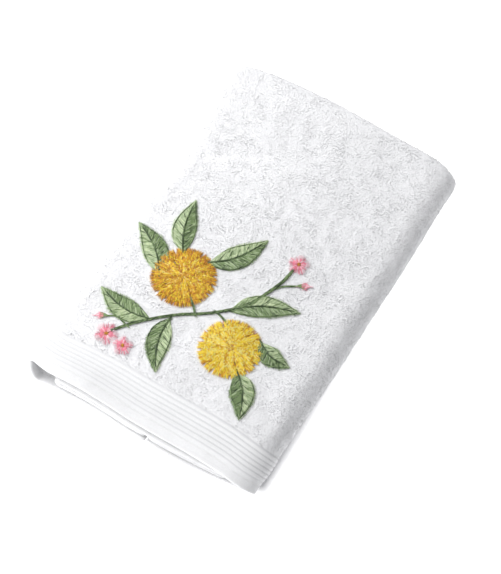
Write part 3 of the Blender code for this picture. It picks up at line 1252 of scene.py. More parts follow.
class Growth:
    """Geometry Nodes that grow one small thing on every point of a mesh."""

    FLOOR_GAP = 0.00004  # in metres, the least height of anything that grows
    WHOLE = ("Sides", "Steps", "Seed")  # the inputs that are whole numbers

    def __init__(self, name: str, sizes: dict[str, float]) -> None:
        """Starts the tree.

        Args:
            name: the tree's name.
            sizes: the named inputs and their values.
        """
        self.sizes = sizes
        self.tree = bpy.data.node_groups.new(name, "GeometryNodeTree")
        face = self.tree.interface
        face.new_socket(name="Geometry", in_out="OUTPUT", socket_type="NodeSocketGeometry")
        kinds = {size: "Int" if size in self.WHOLE else "Float" for size in sizes}
        for given, kind in {"Geometry": "Geometry", **kinds, "Finish": "Material"}.items():
            face.new_socket(name=given, in_out="INPUT", socket_type=f"NodeSocket{kind}")
        self.board = Board(self.tree)
        self.given = self.board.node("NodeGroupInput")

    def size(self, name: str) -> Value:
        """One of the tree's inputs."""
        return Value(self.board, self.given.outputs[name])

    def named(self, name: str) -> Value:
        """One of the attributes of the points."""
        return self.board.value(
            "GeometryNodeInputNamedAttribute", {"Name": name}, data_type="FLOAT_VECTOR"
        )

    def point(self, x: Number, y: Number, z: Number) -> Value:
        """A point from its three numbers."""
        return self.board.value("ShaderNodeCombineXYZ", {0: x, 1: y, 2: z})

    def turned(self, first: str, second: str) -> Value:
        """The rotation that brings two of a thing's own axes to the two of its point.

        Args:
            first: the own axis that comes to the point's first one: X, Y or Z.
            second: the own axis that comes to its second one.

        Returns:
            The rotation.
        """
        return self.board.value(
            "FunctionNodeAxesToRotation",
            {
                "Primary Axis": self.named("first_axis"),
                "Secondary Axis": self.named("second_axis"),
            },
            primary_axis=first,
            secondary_axis=second,
        )

    def strand(self, start: Value, rise: Value, fall: Value, end: Value) -> Value:
        """A closed strand of thread along a curve. Its attribute local keeps its coordinates.

        Args:
            start: where the curve starts.
            rise: the point that it leaves its start towards.
            fall: the point that it reaches its end from.
            end: where it ends.

        Returns:
            The strand.
        """
        board = self.board
        ends = {"Start": start, "Start Handle": rise, "End Handle": fall, "End": end}
        path = board.value(
            "GeometryNodeCurvePrimitiveBezierSegment", {"Resolution": self.size("Steps"), **ends}
        )
        ring = board.value(
            "GeometryNodeCurvePrimitiveCircle",
            {"Resolution": self.size("Sides"), "Radius": self.size("Thickness") * 0.5},
        )
        tube = board.value(
            "GeometryNodeCurveToMesh", {"Curve": path, "Profile Curve": ring, "Fill Caps": True}
        )
        smooth = board.value("GeometryNodeSetShadeSmooth", {0: tube})
        local = board.value("GeometryNodeInputPosition")
        return self.store(smooth, "local", local, "FLOAT_VECTOR", "POINT")

    def store(self, shape: Value, name: str, value: Value, kind: str, domain: str) -> Value:
        """Stores a value as an attribute of a shape.

        Args:
            shape: the shape.
            name: the attribute's name.
            value: what it holds.
            kind: its data type.
            domain: what of the shape it belongs to.

        Returns:
            The shape with the attribute.
        """
        return self.board.value(
            "GeometryNodeStoreNamedAttribute",
            {"Geometry": shape, "Name": name, "Value": value},
            data_type=kind,
            domain=domain,
        )

    def close(self, thing: Value, rotation: Value, spread: float) -> None:
        """Puts the thing on every point and ends the tree.

        Args:
            thing: what grows.
            rotation: its rotation at each point.
            spread: the share of the bake map that a metre of the thing's own width takes.
        """
        board = self.board
        copies = board.value(
            "GeometryNodeInstanceOnPoints",
            {
                "Points": self.size("Geometry"),
                "Instance": thing,
                "Rotation": rotation,
                "Scale": self.named("scale"),
            },
        )
        real = board.value("GeometryNodeRealizeInstances", {0: copies})
        own = board.vector("MULTIPLY", self.named("local"), (spread, spread, 0.0))
        place = board.vector("ADD", self.named("patch"), own)
        mapped = self.store(real, BAKE_MAP, place, "FLOAT2", "CORNER")
        dressed = board.value(
            "GeometryNodeSetMaterial", {"Geometry": mapped, "Material": self.size("Finish")}
        )
        board.node("NodeGroupOutput", {"Geometry": dressed})

    def grow(self, points: Points, name: str, finish: bpy.types.Material) -> bpy.types.Object:
        """Runs the tree on a set of points.

        Args:
            points: where to grow the thing.
            name: the new piece's name.
            finish: its material.

        Returns:
            The piece, a plain mesh.
        """
        piece = points.as_object(name)
        modifier = piece.modifiers.new("grow", "NODES")
        modifier.node_group = self.tree
        values = {**self.sizes, "Finish": finish}
        for item in self.tree.interface.items_tree:
            if item.in_out == "INPUT" and item.name in values:
                modifier[item.identifier] = values[item.name]
        evaluated = piece.evaluated_get(bpy.context.evaluated_depsgraph_get())
        mesh = bpy.data.meshes.new_from_object(evaluated)
        piece.modifiers.clear()
        piece.data = mesh
        mesh.name = name
        corners = np.empty(len(mesh.vertices) * 3, np.float32)
        mesh.vertices.foreach_get("co", corners)
        corners[2::3] = np.maximum(corners[2::3], self.FLOOR_GAP)
        mesh.vertices.foreach_set("co", corners)
        for attribute in [a.name for a in mesh.attributes if a.name in Points.WORKING]:
            mesh.attributes.remove(mesh.attributes[attribute])
        return piece


def loop_growth(height: float, width: float, thickness: float) -> Growth:
    """The tree that grows pile: a small leaning loop of yarn on every point.

    Args:
        height: of a loop over its foot, in metres.
        width: across the loop.
        thickness: of its yarn.

    Returns:
        The tree, ready to grow.
    """
    sizes = {"Height": height, "Width": width, "Thickness": thickness}
    growth = Growth("pile_loops", {**sizes, "Sides": 3, "Steps": 2, "Seed": 7})
    across, top = growth.size("Width"), growth.size("Height") * 1.32
    loop = growth.strand(
        growth.point(across * -0.35, 0.0, 0.0),
        growth.point(across * -0.95, across * 0.5, top),
        growth.point(across * 0.95, across * -0.5, top),
        growth.point(across * 0.35, 0.0, 0.0),
    )
    board = growth.board
    angles = {"Seed": growth.size("Seed"), 2: 0.0, 3: 2 * math.pi}
    spin = board.value("FunctionNodeRandomValue", angles, 1, data_type="FLOAT")
    turn = board.value(
        "FunctionNodeAxisAngleToRotation", {"Axis": (0.0, 0.0, 1.0), "Angle": spin}
    )
    rotation = board.value(
        "FunctionNodeRotateRotation",
        {"Rotation": growth.turned("Z", "X"), "Rotate By": turn},
        rotation_space="LOCAL",
    )
    growth.close(loop, rotation, 1.6)
    return growth


def stitch_growth(arch: float) -> Growth:
    """The tree that grows sewing: a low arch of thread, a metre long before it is scaled.

    Args:
        arch: how far the middle rises over the ends, in thread thicknesses.

    Returns:
        The tree, ready to grow.
    """
    growth = Growth("stitches", {"Thickness": 1.0, "Arch": arch, "Sides": 4, "Steps": 2})
    rise = growth.size("Arch")
    corners = ((-0.5, -0.5), (-0.28, 0.6), (0.28, 0.6), (0.5, -0.5))
    stitch = growth.strand(*(growth.point(x, 0.0, rise * z) for x, z in corners))
    growth.close(stitch, growth.turned("X", "Z"), 0.004)
    return growth


@dataclass
class Cloth:
    """The towel's own sheet: terry ground, ribbed band, hems and side hems."""

    sheet: FoldedSheet
    sprig: Sprig
    ground: float = 1.75  # from the middle to the ground on the outer side, under the loops
    lining: float = 2.4  # from the middle to the other side, which lies against the next layer
    side_hem: float = 7.0
    pile_fade: float = 1.6  # over which the pile comes up beside a band or a side hem
    seam: float = 6.7  # from the edge to the seam of an end hem
    seam_width: float = 0.7
    seam_depth: float = 0.45
    pucker: float = 0.14
    filling: float = 0.75  # under the embroidery
    rim_rows: int = 3
    rim_bulge: float = 1.2
    lumps: tuple[tuple[float, Unevenness], ...] = (
        (0.45, Unevenness(3, 34.0, 1.3)),
        (0.25, Unevenness(5, 13.0, 1.2)),
        (0.16, Unevenness(6, 5.5, 1.1)),
    )
    puckers: Unevenness = Unevenness(11, 3.2)
    creases: tuple[Crease, ...] = (
        Crease(-84, 47, 84, 58, 7.0, -1.1, 2.0),
        Crease(-80, 62, 10, 72, 9.0, 0.6, -2.0),
        Crease(-96, -112, -60, -60, 8.0, -0.7, 3.0),
        Crease(84, -128, 62, -84, 6.0, -0.9, 2.0),
        Crease(70, -112, 90, -60, 7.0, 0.5, -3.0),
        Crease(-60, 96, 40, 118, 11.0, -0.6, 5.0),
        Crease(20, 88, 82, 132, 10.0, -0.7, -4.0),
        Crease(-72, 130, -20, 148, 8.0, -0.6, 2.0),
        Crease(52, 10, 86, 34, 9.0, -0.6, 2.0),
        Crease(-86, -20, -60, 30, 9.0, -0.5, -2.0),
    )
    columns: tuple[int, ...] = (26, 22, 62, 22, 26)  # of the mesh, in each run
    outer_rows: int = 92
    back_rows: int = 11
    inner_rows: int = 40

    HEM_ROWS = (0.0, 1.6, 3.4, 5.2, 6.2, 6.7, 7.2, 8.2, 9.5)
    RIB_ROWS = (0.0, 0.07, 0.16, 0.3, 0.5, 0.7, 0.84, 0.93)
    FLOOR_GAP = 0.05
    MAP_EDGE = 0.01  # the bare edge of the bake map
    MAP_SIZE = (0.47, 0.98)  # what each side of the cloth takes of it
    MAP_BACK = 0.5  # how far beside the outer side's place the other side's is

    def column_places(self) -> Numbers:
        """The places across of the mesh's columns."""
        runs = [run + np.arange(steps) / steps for run, steps in enumerate(self.columns)]
        return np.concatenate([*runs, [len(Run)]])

    def row_places(self) -> Numbers:
        """The places along of the mesh's rows, close together over the ribs."""
        s = self.sheet
        steps = np.arange(s.rib_count)[:, None] + np.array(self.RIB_ROWS)
        ribs = (s.ribs_start + steps * s.rib_pitch).ravel()
        near = np.concatenate([self.HEM_ROWS, ribs, [s.border_length, s.border_length + 1.2]])
        outer = np.linspace(s.border_length + 3.0, s.half_length, self.outer_rows)
        turned = s.half_length + s.back_arc
        arc = np.linspace(s.half_length, turned, self.back_rows)[1:-1]
        inner = np.linspace(turned, s.length - s.border_length - 3.0, self.inner_rows)
        return np.concatenate([near, outer, arc, inner, s.length - near[::-1]])

    def from_hem(self, along: Numbers) -> Numbers:
        """The distance from the nearer hem."""
        return np.minimum(along, self.sheet.length - along)

    def rib_place(self, along: Numbers) -> Numbers:
        """The place over the band, counted in ribs."""
        return (self.from_hem(along) - self.sheet.ribs_start) / self.sheet.rib_pitch

    def ribs(self, along: Numbers) -> Numbers:
        """How far the ribs of the band raise each face."""
        s, place = self.sheet, self.rib_place(along)
        inside = (place >= 0) & (place <= s.rib_count)
        return np.where(inside, s.rib_rise * (1 - np.abs(2 * (place % 1.0) - 1) ** 3.0), 0.0)

    def furrow_shade(self, across: Numbers, along: Numbers) -> Numbers:
        """How deep in the painted shade of the furrows beside the ribs places are.

        Args:
            across: places across.
            along: places along.

        Returns:
            The depth of each, from 0 to 1, and less at the left, where the light comes from.
        """
        s, place = self.sheet, self.rib_place(along)
        beside = (place > -0.2) & (place < s.rib_count + 0.2)
        # painted shade: weaker at the left, as the light from the left washes out the furrows
        # there
        depth = np.interp(across, (2.0, 3.0), (0.4, 1.0))
        return np.where(beside, 1 - self.ribs(along) / s.rib_rise, 0.0) * depth

    def pile_share(self, across: Numbers, along: Numbers) -> Numbers:
        """Where the cloth has pile.

        Args:
            across: places across.
            along: places along.

        Returns:
            1 in the pile, 0 on the bands, hems and side hems.
        """
        u = self.sheet.flat_across(across)
        edge = np.minimum(u, self.sheet.width - u)
        far = ease((self.from_hem(along) - self.sheet.border_length) / self.pile_fade)
        return far * ease((edge - self.side_hem) / self.pile_fade)

    def swell(self, across: Numbers, along: Numbers) -> Numbers:
        """How far soft lumps push the whole cloth out.

        Args:
            across: places across.
            along: places along.

        Returns:
            The push at each place, none where the cloth lies on the floor.
        """
        u = self.sheet.flat_across(across)
        total = sum(size * lump.at(u, along) for size, lump in self.lumps)
        free = between(across, 1.35, 3.65, 2.2)
        outer = ease((self.sheet.half_length - along) / 20.0)
        return total * free * outer * (0.35 + 0.65 * self.pile_share(across, along))

    def relief(self, across: Numbers, along: Numbers, places: Numbers) -> Numbers:
        """How far creases lift the face of the top.

        Args:
            across: places across.
            along: places along.
            places: the points of the middle surface there.

        Returns:
            The rise at each place, under 0 in a trough.
        """
        on_top = between(across, 1.75, 3.25, 4.0) * (along < self.sheet.half_length)
        x, y = places[..., 0], places[..., 1]
        return on_top * sum(crease.at(x, y) for crease in self.creases)

    def offsets(
        self, across: Numbers, along: Numbers, places: Numbers
    ) -> tuple[Numbers, Numbers]:
        """How far the two sides of the cloth lie from its middle.

        Args:
            across: places across.
            along: places along.
            places: the points of the middle surface there.

        Returns:
            The distance of the outer side and of the other side.
        """
        s = self.sheet
        from_hem = self.from_hem(along)
        pile = self.pile_share(across, along)
        seam = np.exp(-(((from_hem - self.seam) / self.seam_width) ** 2))
        pucker = self.puckers.at(s.flat_across(across), along) * self.pucker
        hem = s.hem / 2 - self.seam_depth * seam + pucker
        flat = np.where(from_hem < s.hem_length, hem, s.border / 2 + self.ribs(along))
        on_face = (across > 1.9) & (across < 3.1) & (along < s.half_length)
        padding = np.where(on_face, self.sprig.padding(places[..., 0], places[..., 1]), 0.0)
        ground = self.ground + self.filling * padding + self.relief(across, along, places)
        outer = flat * (1 - pile) + ground * pile
        loose = 1 - ease((from_hem - s.hem_length) / s.fullness_fade)
        fullness = s.fronts.read("fullness", places[..., 0]) * loose
        other = flat * (1 - pile) + self.lining * pile + fullness
        return outer, other

    def surface(
        self, across: Numbers, along: Numbers, height: Union[float, Numbers]
    ) -> Numbers:
        """Points over the ground of the outer side, swell and creases included.

        Args:
            across: places across.
            along: places along.
            height: how far over the ground.

        Returns:
            The points.
        """
        middle = self.sheet.middle(across, along)
        out = self.sheet.facing(across, along)
        rise = self.offsets(across, along, middle)[0] + self.swell(across, along) + height
        return middle + out * rise[..., None]

    def patch(self, across: Numbers, along: Numbers) -> Numbers:
        """Where places lie on the left half of the bake map.

        Args:
            across: places across.
            along: places along.

        Returns:
            Their places on the map, with a third number of 0.
        """
        u = self.sheet.flat_across(across) / self.sheet.width
        v = along / self.sheet.length
        wide, high = self.MAP_SIZE
        return np.stack([self.MAP_EDGE + wide * u, self.MAP_EDGE + high * v, np.zeros_like(u)], -1)

    def build(self, terry: bpy.types.Material, woven: bpy.types.Material) -> bpy.types.Object:
        """Makes the sheet: two sides and a rounded rim.

        Args:
            terry: the finish of the ground under the pile.
            woven: the finish of the bands and hems.

        Returns:
            The cloth's object.
        """
        along, across = np.meshgrid(self.row_places(), self.column_places(), indexing="ij")
        middle = self.sheet.middle(across, along)
        out = self.sheet.facing(across, along)
        swell = self.swell(across, along)[..., None]
        outer, other = (side[..., None] for side in self.offsets(across, along, middle))
        faces = middle + out * (swell + outer), middle + out * (swell - other)
        for side in faces:
            side[..., 2] = np.maximum(side[..., 2], self.FLOOR_GAP)
        count = along.size
        index = np.arange(count).reshape(along.shape)
        quads = np.stack([index[:-1, :-1], index[:-1, 1:], index[1:, 1:], index[1:, :-1]], -1)
        quads = quads.reshape(-1, 4)
        edges = index[0, :-1], index[:-1, -1], index[-1, :0:-1], index[:0:-1, 0]
        border = np.concatenate(edges)
        rim = self.rim(border, faces, middle)
        vertices = np.concatenate([part.reshape(-1, 3) for part in (*faces, rim)])
        steps = np.arange(len(border))
        rim_rings = [2 * count + k * len(border) + steps for k in range(self.rim_rows)]
        rings = [border, *rim_rings, border + count]
        strips = [
            np.stack([np.roll(a, -1), a, b, np.roll(b, -1)], -1) for a, b in zip(rings, rings[1:])
        ]
        polygons = np.concatenate([quads, quads[:, ::-1] + count, *strips])
        mesh = bpy.data.meshes.new("towel_cloth")
        mesh.from_pydata(((vertices - CENTRE) * METRES).tolist(), [], polygons.tolist())
        mesh.materials.append(terry)
        mesh.materials.append(woven)
        pile = self.pile_share(across, along).ravel()
        bare = (pile[quads].mean(1) < 0.5).astype(np.int32)
        strip_count = len(border) * (self.rim_rows + 1)
        slots = np.concatenate([bare, bare, np.ones(strip_count, np.int32)])
        mesh.polygons.foreach_set("material_index", slots)
        self.map_surface(mesh, across, along, border)
        mesh.shade_smooth()
        return add_object("towel_cloth", mesh)

    def rim(self, border: Numbers, faces: tuple[Numbers, Numbers], middle: Numbers) -> Numbers:
        """The rounded edge of the cut sheet.

        Args:
            border: the grid's outermost points, in order.
            faces: the points of both sides.
            middle: the points of the middle surface.

        Returns:
            One ring of points for each row of the rim.
        """
        rows, columns = middle.shape[:2]
        points = middle.reshape(-1, 3)
        upper, lower = (side.reshape(-1, 3)[border] for side in faces)
        i, j = border // columns, border % columns
        inward = np.clip(i, 1, rows - 2) * columns + np.clip(j, 1, columns - 2)
        out = points[border] - points[inward]
        out[..., 2] = 0.0
        out = unit(out)
        rings = []
        for k in range(1, self.rim_rows + 1):
            angle = math.pi * k / (self.rim_rows + 1)
            across_rim = (upper + lower) / 2 + (upper - lower) / 2 * math.cos(angle)
            rings.append(across_rim + out * self.rim_bulge * math.sin(angle))
        return np.stack(rings)

    def map_surface(
        self, mesh: bpy.types.Mesh, across: Numbers, along: Numbers, border: Numbers
    ) -> None:
        """Gives the sheet its flat map for the weave and its own map of the whole surface.

        Args:
            mesh: the sheet's mesh.
            across: the places across of its grid.
            along: the places along of its grid.
            border: the grid's outermost points, in order.
        """
        # the third number is how deep the painted shade of the furrows is
        flat = np.stack([self.sheet.flat_across(across), along, self.furrow_shade(across, along)], -1)
        flat = flat.reshape(-1, 3)
        face = self.patch(across, along).reshape(-1, 3)
        back = face + np.array([self.MAP_BACK, 0.0, 0.0])
        rim_flat, rim_map = (np.tile(part[border], (self.rim_rows, 1)) for part in (flat, face))
        layer = mesh.attributes.new("flat", "FLOAT_VECTOR", "POINT")
        values = np.concatenate([flat, flat, rim_flat]).astype(np.float32)
        layer.data.foreach_set("vector", values.ravel())
        corners = np.empty(len(mesh.loops), np.int32)
        mesh.loops.foreach_get("vertex_index", corners)
        places = np.concatenate([face, back, rim_map])[corners][:, :2]
        uv = mesh.uv_layers.new(name=BAKE_MAP)
        uv.uv.foreach_set("vector", places.astype(np.float32).ravel())


@dataclass(frozen=True)
class PilePatch:
    """One piece of the pile: the runs and the places along that it grows on, how far apart its
    loops stand, how big they are and how far they lean."""

    name: str
    first_run: Run
    last_run: Run
    first: float
    last: float
    pitch: float
    size: float = 1.0
    lean: float = 1.0


@dataclass
class Pile:
    """The looped pile on the outer side of the cloth."""

    cloth: Cloth
    height: float = 0.95
    width: float = 0.5
    yarn: float = 1.0
    root: float = -0.55
    jitter: float = 0.42  # of a loop's place, as a share of the pitch
    patches: tuple[PilePatch, ...] = (
        PilePatch("pile_top_front", Run.FACE, Run.FACE, 31.0, 123.0, 1.38),
        PilePatch("pile_top_middle", Run.FACE, Run.FACE, 123.0, 215.0, 1.38),
        PilePatch("pile_top_back", Run.FACE, Run.FACE, 215.0, 306.0, 1.38),
        PilePatch("pile_left_side", Run.LEFT_TURN, Run.LEFT_TURN, 31.0, 306.0, 1.55),
        PilePatch("pile_right_side", Run.RIGHT_TURN, Run.RIGHT_TURN, 31.0, 306.0, 1.55),
        PilePatch("pile_back_fold", Run.LEFT_FLAP, Run.RIGHT_FLAP, 306.0, 326.0, 1.55),
        PilePatch("pile_underside", Run.LEFT_FLAP, Run.LEFT_FLAP, 33.0, 306.0, 3.0, 0.8, 1.6),
        PilePatch(
            "pile_underside_right", Run.RIGHT_FLAP, Run.RIGHT_FLAP, 33.0, 306.0, 3.0, 0.8, 1.6
        ),
    )

    SEED = 17
    LEANS_ACROSS = ((0.30, Unevenness(21, 46.0)), (0.22, Unevenness(22, 7.0)))
    LEANS_ALONG = ((0.30, Unevenness(23, 40.0)), (0.22, Unevenness(24, 7.0)))
    LEAN_SWING = 0.16
    LEAN_FORWARD = 0.12  # of every loop, towards the hem
    SIZES = (0.22, Unevenness(25, 4.5))
    SIZE_SWING = 0.08

    def roots(self, patch: PilePatch, rng: np.random.Generator) -> Points:
        """The places and leans of one patch's loops.

        Args:
            patch: the patch.
            rng: what makes neighbours differ.

        Returns:
            Points to grow the loops on.
        """
        sheet = self.cloth.sheet
        start, end = patch.first_run.value, patch.last_run.value + 1
        flat_start, flat_end = sheet.flat_across(np.array([start, end]))
        columns = round((flat_end - flat_start) / patch.pitch)
        rows = round((patch.last - patch.first) / patch.pitch)
        v, u = np.meshgrid(
            patch.first + (np.arange(rows) + 0.5) * patch.pitch,
            flat_start + (np.arange(columns) + 0.5) * (flat_end - flat_start) / columns,
            indexing="ij",
        )
        u, v = (n.ravel() for n in (u, v))
        u, v = (n + rng.uniform(-self.jitter, self.jitter, n.shape) * patch.pitch for n in (u, v))
        u, v = np.clip(u, flat_start, flat_end), np.clip(v, patch.first, patch.last)
        across = np.clip(sheet.across_at(u), start, end)
        middle = sheet.middle(across, v)
        keep = self.cloth.pile_share(across, v) > 0.6
        if patch.first_run is Run.FACE:
            keep &= ~self.cloth.sprig.covers(middle[:, 0], middle[:, 1])
        across, u, v = across[keep], u[keep], v[keep]
        out = sheet.facing(across, v)
        lengthwise = unit(sheet.middle(across, v + 1.0) - sheet.middle(across, v - 1.0))
        sideways = np.cross(lengthwise, out)
        lean_u, lean_v = (
            sum(lean * uneven.at(u, v) for lean, uneven in leans)
            + rng.normal(0, self.LEAN_SWING, u.shape)
            for leans in (self.LEANS_ACROSS, self.LEANS_ALONG)
        )
        lean_u, lean_v = lean_u * patch.lean, (lean_v - self.LEAN_FORWARD) * patch.lean
        rise = unit(out + sideways * lean_u[:, None] + lengthwise * lean_v[:, None])
        share, uneven = self.SIZES
        size = 1 + share * uneven.at(u, v) + rng.normal(0, self.SIZE_SWING, u.shape)
        return Points(
            self.cloth.surface(across, v, self.root),
            rise,
            sideways,
            np.repeat((patch.size * size)[:, None], 3, axis=1),
            self.cloth.patch(across, v),
        )

    def build(self, finish: bpy.types.Material) -> list[bpy.types.Object]:
        """Grows every patch.

        Args:
            finish: the pile's material.

        Returns:
            One piece for each patch.
        """
        growth = loop_growth(self.height * METRES, self.width * METRES, self.yarn * METRES)
        rng = np.random.default_rng(self.SEED)
        return [growth.grow(self.roots(patch, rng), patch.name, finish) for patch in self.patches]


@dataclass
class Embroidery:
    """The sprig's stitches, laid on the top of the cloth, one piece for each spool."""

    cloth: Cloth
    sprig: Sprig
    over_ground: float = 0.35

    def points(self, stitches: Sequence[Stitch]) -> Points:
        """The places, headings and sizes of stitches on the cloth.

        Args:
            stitches: the stitches.

        Returns:
            Points to grow them on.
        """
        sheet = self.cloth.sheet
        x, y, heading, length, lift, thickness = (
            np.array([getattr(stitch, name) for stitch in stitches])
            for name in ("x", "y", "heading", "length", "lift", "thickness")
        )
        across, along = sheet.on_top(x, y)
        places = self.cloth.surface(across, along, self.over_ground + lift)
        up = sheet.facing(across, along)
        way = np.stack([np.cos(heading), np.sin(heading), np.zeros_like(x)], -1)
        way = unit(way - up * (way * up).sum(-1, keepdims=True))
        scale = np.stack([length, thickness, thickness], -1) * METRES
        return Points(places, way, up, scale, self.cloth.patch(across, along))

    def build(self, growth: Growth) -> list[bpy.types.Object]:
        """Grows the stitches of every spool that the sprig uses.

        Args:
            growth: the tree that grows stitches.

        Returns:
            One piece for each spool.
        """
        pieces = []
        for thread in THREADS:
            mine = [stitch for stitch in self.sprig.stitches if stitch.spool is thread.spool]
            if mine:
                name = f"sprig_{thread.spool.value}"
                piece = growth.grow(self.points(mine), name, ThreadFinish(thread).material())
                pieces.append(piece)
        return pieces


@dataclass
class Hems:
    """The lockstitch that holds the end hems and the side hems."""

    cloth: Cloth
    side_inset: float = 5.6
    pitch: float = 2.7
    stitch: float = 2.3
    thickness: float = 0.5
    proud: float = 0.08  # of the cloth
    floor_gap: float = 0.35
    thread: Thread = THREADS[0]

    def line(self, across: Numbers, along: Numbers, outer_side: bool) -> Points:
        """A row of stitches.

        Args:
            across: the places across of the stitches' middles.
            along: their places along.
            outer_side: whether they are on the cloth's outer side.

        Returns:
            Points to grow the stitches on.
        """
        sheet = self.cloth.sheet
        middle = sheet.middle(across, along)
        out = sheet.facing(across, along)
        outer, other = self.cloth.offsets(across, along, middle)
        side, offset = (1.0, outer) if outer_side else (-1.0, other)
        rise = side * (offset + self.proud) + self.cloth.swell(across, along)
        places = middle + out * rise[:, None]
        places[:, 2] = np.maximum(places[:, 2], self.floor_gap)
        way = unit(np.gradient(places, axis=0))
        scale = np.tile(np.array([self.stitch, self.thickness, self.thickness]), (len(across), 1))
        patch = self.cloth.patch(across, along)
        return Points(places, way, out * side, scale * METRES, patch)

    def build(self, growth: Growth) -> bpy.types.Object:
        """Sews all the rows in one piece.

        Args:
            growth: the tree that grows stitches.

        Returns:
            The piece.
        """
        sheet, seam = self.cloth.sheet, self.cloth.seam
        across = sheet.across_at(np.arange(self.pitch, sheet.width - 1.0, self.pitch))
        rows = [
            self.line(across, np.full_like(across, along), outer_side)
            for along in (seam, sheet.length - seam)
            for outer_side in (True, False)
        ]
        along = np.arange(seam + 3.0, sheet.length - seam, self.pitch)
        for flat in (self.side_inset, sheet.width - self.side_inset):
            rows.append(self.line(sheet.across_at(np.full_like(along, flat)), along, True))
        finish = ThreadFinish(self.thread).material()
        piece = growth.grow(Points.joined(rows), "hem_stitches", finish)
        return piece


@dataclass(frozen=True)
class Lamp:
    """A soft studio light: where it hangs, how wide it is and how strong."""

    name: str
    place: tuple[float, float, float]
    width: float
    power: float


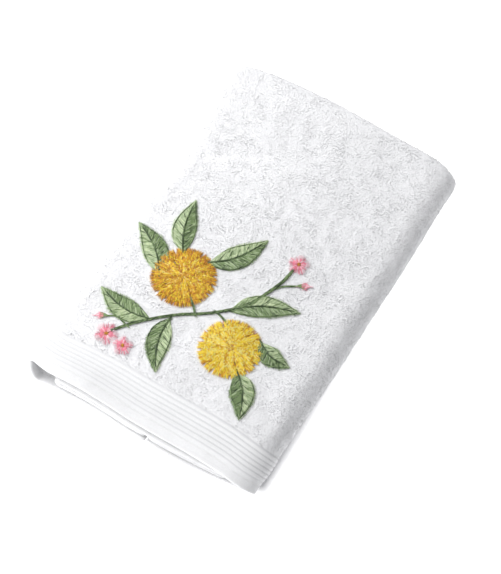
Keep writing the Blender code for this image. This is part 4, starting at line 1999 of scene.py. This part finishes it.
@dataclass
class Studio:
    """The floor, the lights and the camera, in metres."""

    azimuth: float = 29.2
    elevation: float = 62.5
    distance: float = 1.8
    lens: float = 145.2
    sensor: float = 36.0
    shift: tuple[float, float] = (0.0049, -0.0052)
    looked_at: tuple[float, float, float] = (-0.000126, -0.004135, 0.0)
    floor_reach: float = 3.0
    floor_colour: Colour = (0.86, 0.86, 0.87)
    floor_darker: float = 0.99  # in its darkest patches, times its colour
    floor_patch: float = 0.4
    floor_glow: float = 0.85  # what the floor gives off by itself, away from the towel
    footprint: tuple[float, float] = (0.096, 0.148)  # half the sides of what doesn't glow
    glow_slope: float = 120.0
    sky: float = 0.42
    sky_colour: Colour = (0.97, 0.98, 1.0)
    lamps: tuple[Lamp, ...] = (
        Lamp("key", (-0.64, -0.08, 0.6), 0.5, 7.1),
        Lamp("fill", (-0.2, -0.9, 0.3), 0.7, 2.6),
        Lamp("low", (-0.45, -0.6, 0.06), 0.25, 0.7),
        Lamp("back", (-0.1, 0.62, 0.75), 0.5, 2.3),
    )

    def axes(self) -> tuple[Vector, Vector, Vector]:
        """The camera's right, its up and the way back to it from what it looks at."""
        turn, tilt = math.radians(self.azimuth), math.radians(self.elevation)
        level = math.cos(tilt)
        back = Vector((math.sin(turn) * level, -math.cos(turn) * level, math.sin(tilt)))
        right = Vector((math.cos(turn), math.sin(turn), 0.0))
        return right, back.cross(right), back

    def add_camera(self) -> None:
        """Adds the camera and makes it the scene's."""
        right, up, back = self.axes()
        data = bpy.data.cameras.new("camera")
        data.lens, data.sensor_width = self.lens, self.sensor
        place = Vector(self.looked_at) + back * self.distance
        place += right * self.shift[0] + up * self.shift[1]
        turned = Matrix((right, up, back)).transposed().to_4x4()
        camera = add_object("camera", data)
        camera.matrix_world = Matrix.Translation(place) @ turned
        bpy.context.scene.camera = camera

    def add_lights(self) -> None:
        """Adds the lamps and the even light of the room."""
        for lamp in self.lamps:
            data = bpy.data.lights.new(lamp.name, "AREA")
            data.shape, data.size, data.energy = "DISK", lamp.width, lamp.power
            place = Vector(lamp.place)
            turned = place.to_track_quat("Z", "Y").to_matrix().to_4x4()
            add_object(lamp.name, data).matrix_world = Matrix.Translation(place) @ turned
        world = bpy.data.worlds.new("room")
        world.use_nodes = True
        background = world.node_tree.nodes["Background"]
        background.inputs["Color"].default_value = (*self.sky_colour, 1.0)
        background.inputs["Strength"].default_value = self.sky
        bpy.context.scene.world = world
        bpy.context.scene.view_settings.view_transform = "Standard"

    def floor_finish(self) -> bpy.types.Material:
        """Pale paper that glows away from the towel, so that only a soft shadow shows at it."""
        finish = Finish("floor_paper", 0.9, 0.0, {"Emission Strength": self.floor_glow})
        tint = finish.noise(finish.place(), self.floor_patch)
        darker = tuple(channel * self.floor_darker for channel in self.floor_colour)
        finish.paint(darker, self.floor_colour, tint)
        past = [
            finish.maths("MAXIMUM", finish.maths("ABSOLUTE", side) - half, 0.0)
            for side, half in zip(finish.split(finish.place()), self.footprint)
        ]
        distance = finish.maths("SQRT", past[0] * past[0] + past[1] * past[1])
        glow = finish.maths("MINIMUM", distance * self.glow_slope, 1.0)
        finish.paint((0.0, 0.0, 0.0), (1.0, 1.0, 1.0), glow, "Emission Color")
        return finish.material

    def add_floor(self) -> None:
        """Adds the pale floor just under the towel."""
        reach = self.floor_reach
        corners = [(-reach, -reach, 0), (reach, -reach, 0), (reach, reach, 0), (-reach, reach, 0)]
        mesh = bpy.data.meshes.new("floor")
        mesh.from_pydata(corners, [], [(0, 1, 2, 3)])
        mesh.materials.append(self.floor_finish())
        add_object("floor", mesh)


class Towel:
    """The whole towel: the cloth, its pile and its sewing."""

    TERRY_SLOT = "terry_white"

    def __init__(self) -> None:
        """Lays out the fold and the embroidery."""
        self.sheet = FoldedSheet()
        self.sprig = Sprig()
        self.cloth = Cloth(self.sheet, self.sprig)

    def build(self) -> None:
        """Makes every piece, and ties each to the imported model."""
        terry, woven = TerryFinish(), WovenFinish()
        cloth = self.cloth.build(terry.material("terry_ground"), woven.material("woven_band"))
        pile = Pile(self.cloth).build(terry.material("terry_pile"))
        sewing = stitch_growth(1.3)
        embroidery = Embroidery(self.cloth, self.sprig).build(sewing)
        hems = Hems(self.cloth).build(sewing)
        others = [*pile, *embroidery, hems]
        for piece in (cloth, *others):
            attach(piece, "root")
            self.report(piece)
        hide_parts("towel")
        flat = (self.sheet.width * METRES, self.sheet.length * METRES)

    @staticmethod
    def report(piece: bpy.types.Object) -> None:
        """Logs a piece's name and size."""
        triangles = sum(len(polygon.vertices) - 2 for polygon in piece.data.polygons)
        log.info("%s: %d triangles", piece.name, triangles)


def main() -> None:
    """Builds the towel and the studio around it."""
    logging.basicConfig(level=logging.INFO, format="%(name)s %(message)s")
    towel = Towel()
    log.info("flat size %.1f x %.1f mm", towel.sheet.width, towel.sheet.length)
    studio = Studio()
    studio.add_camera()
    towel.build()
    studio.add_floor()
    studio.add_lights()


if __name__ == "__main__":
    main()
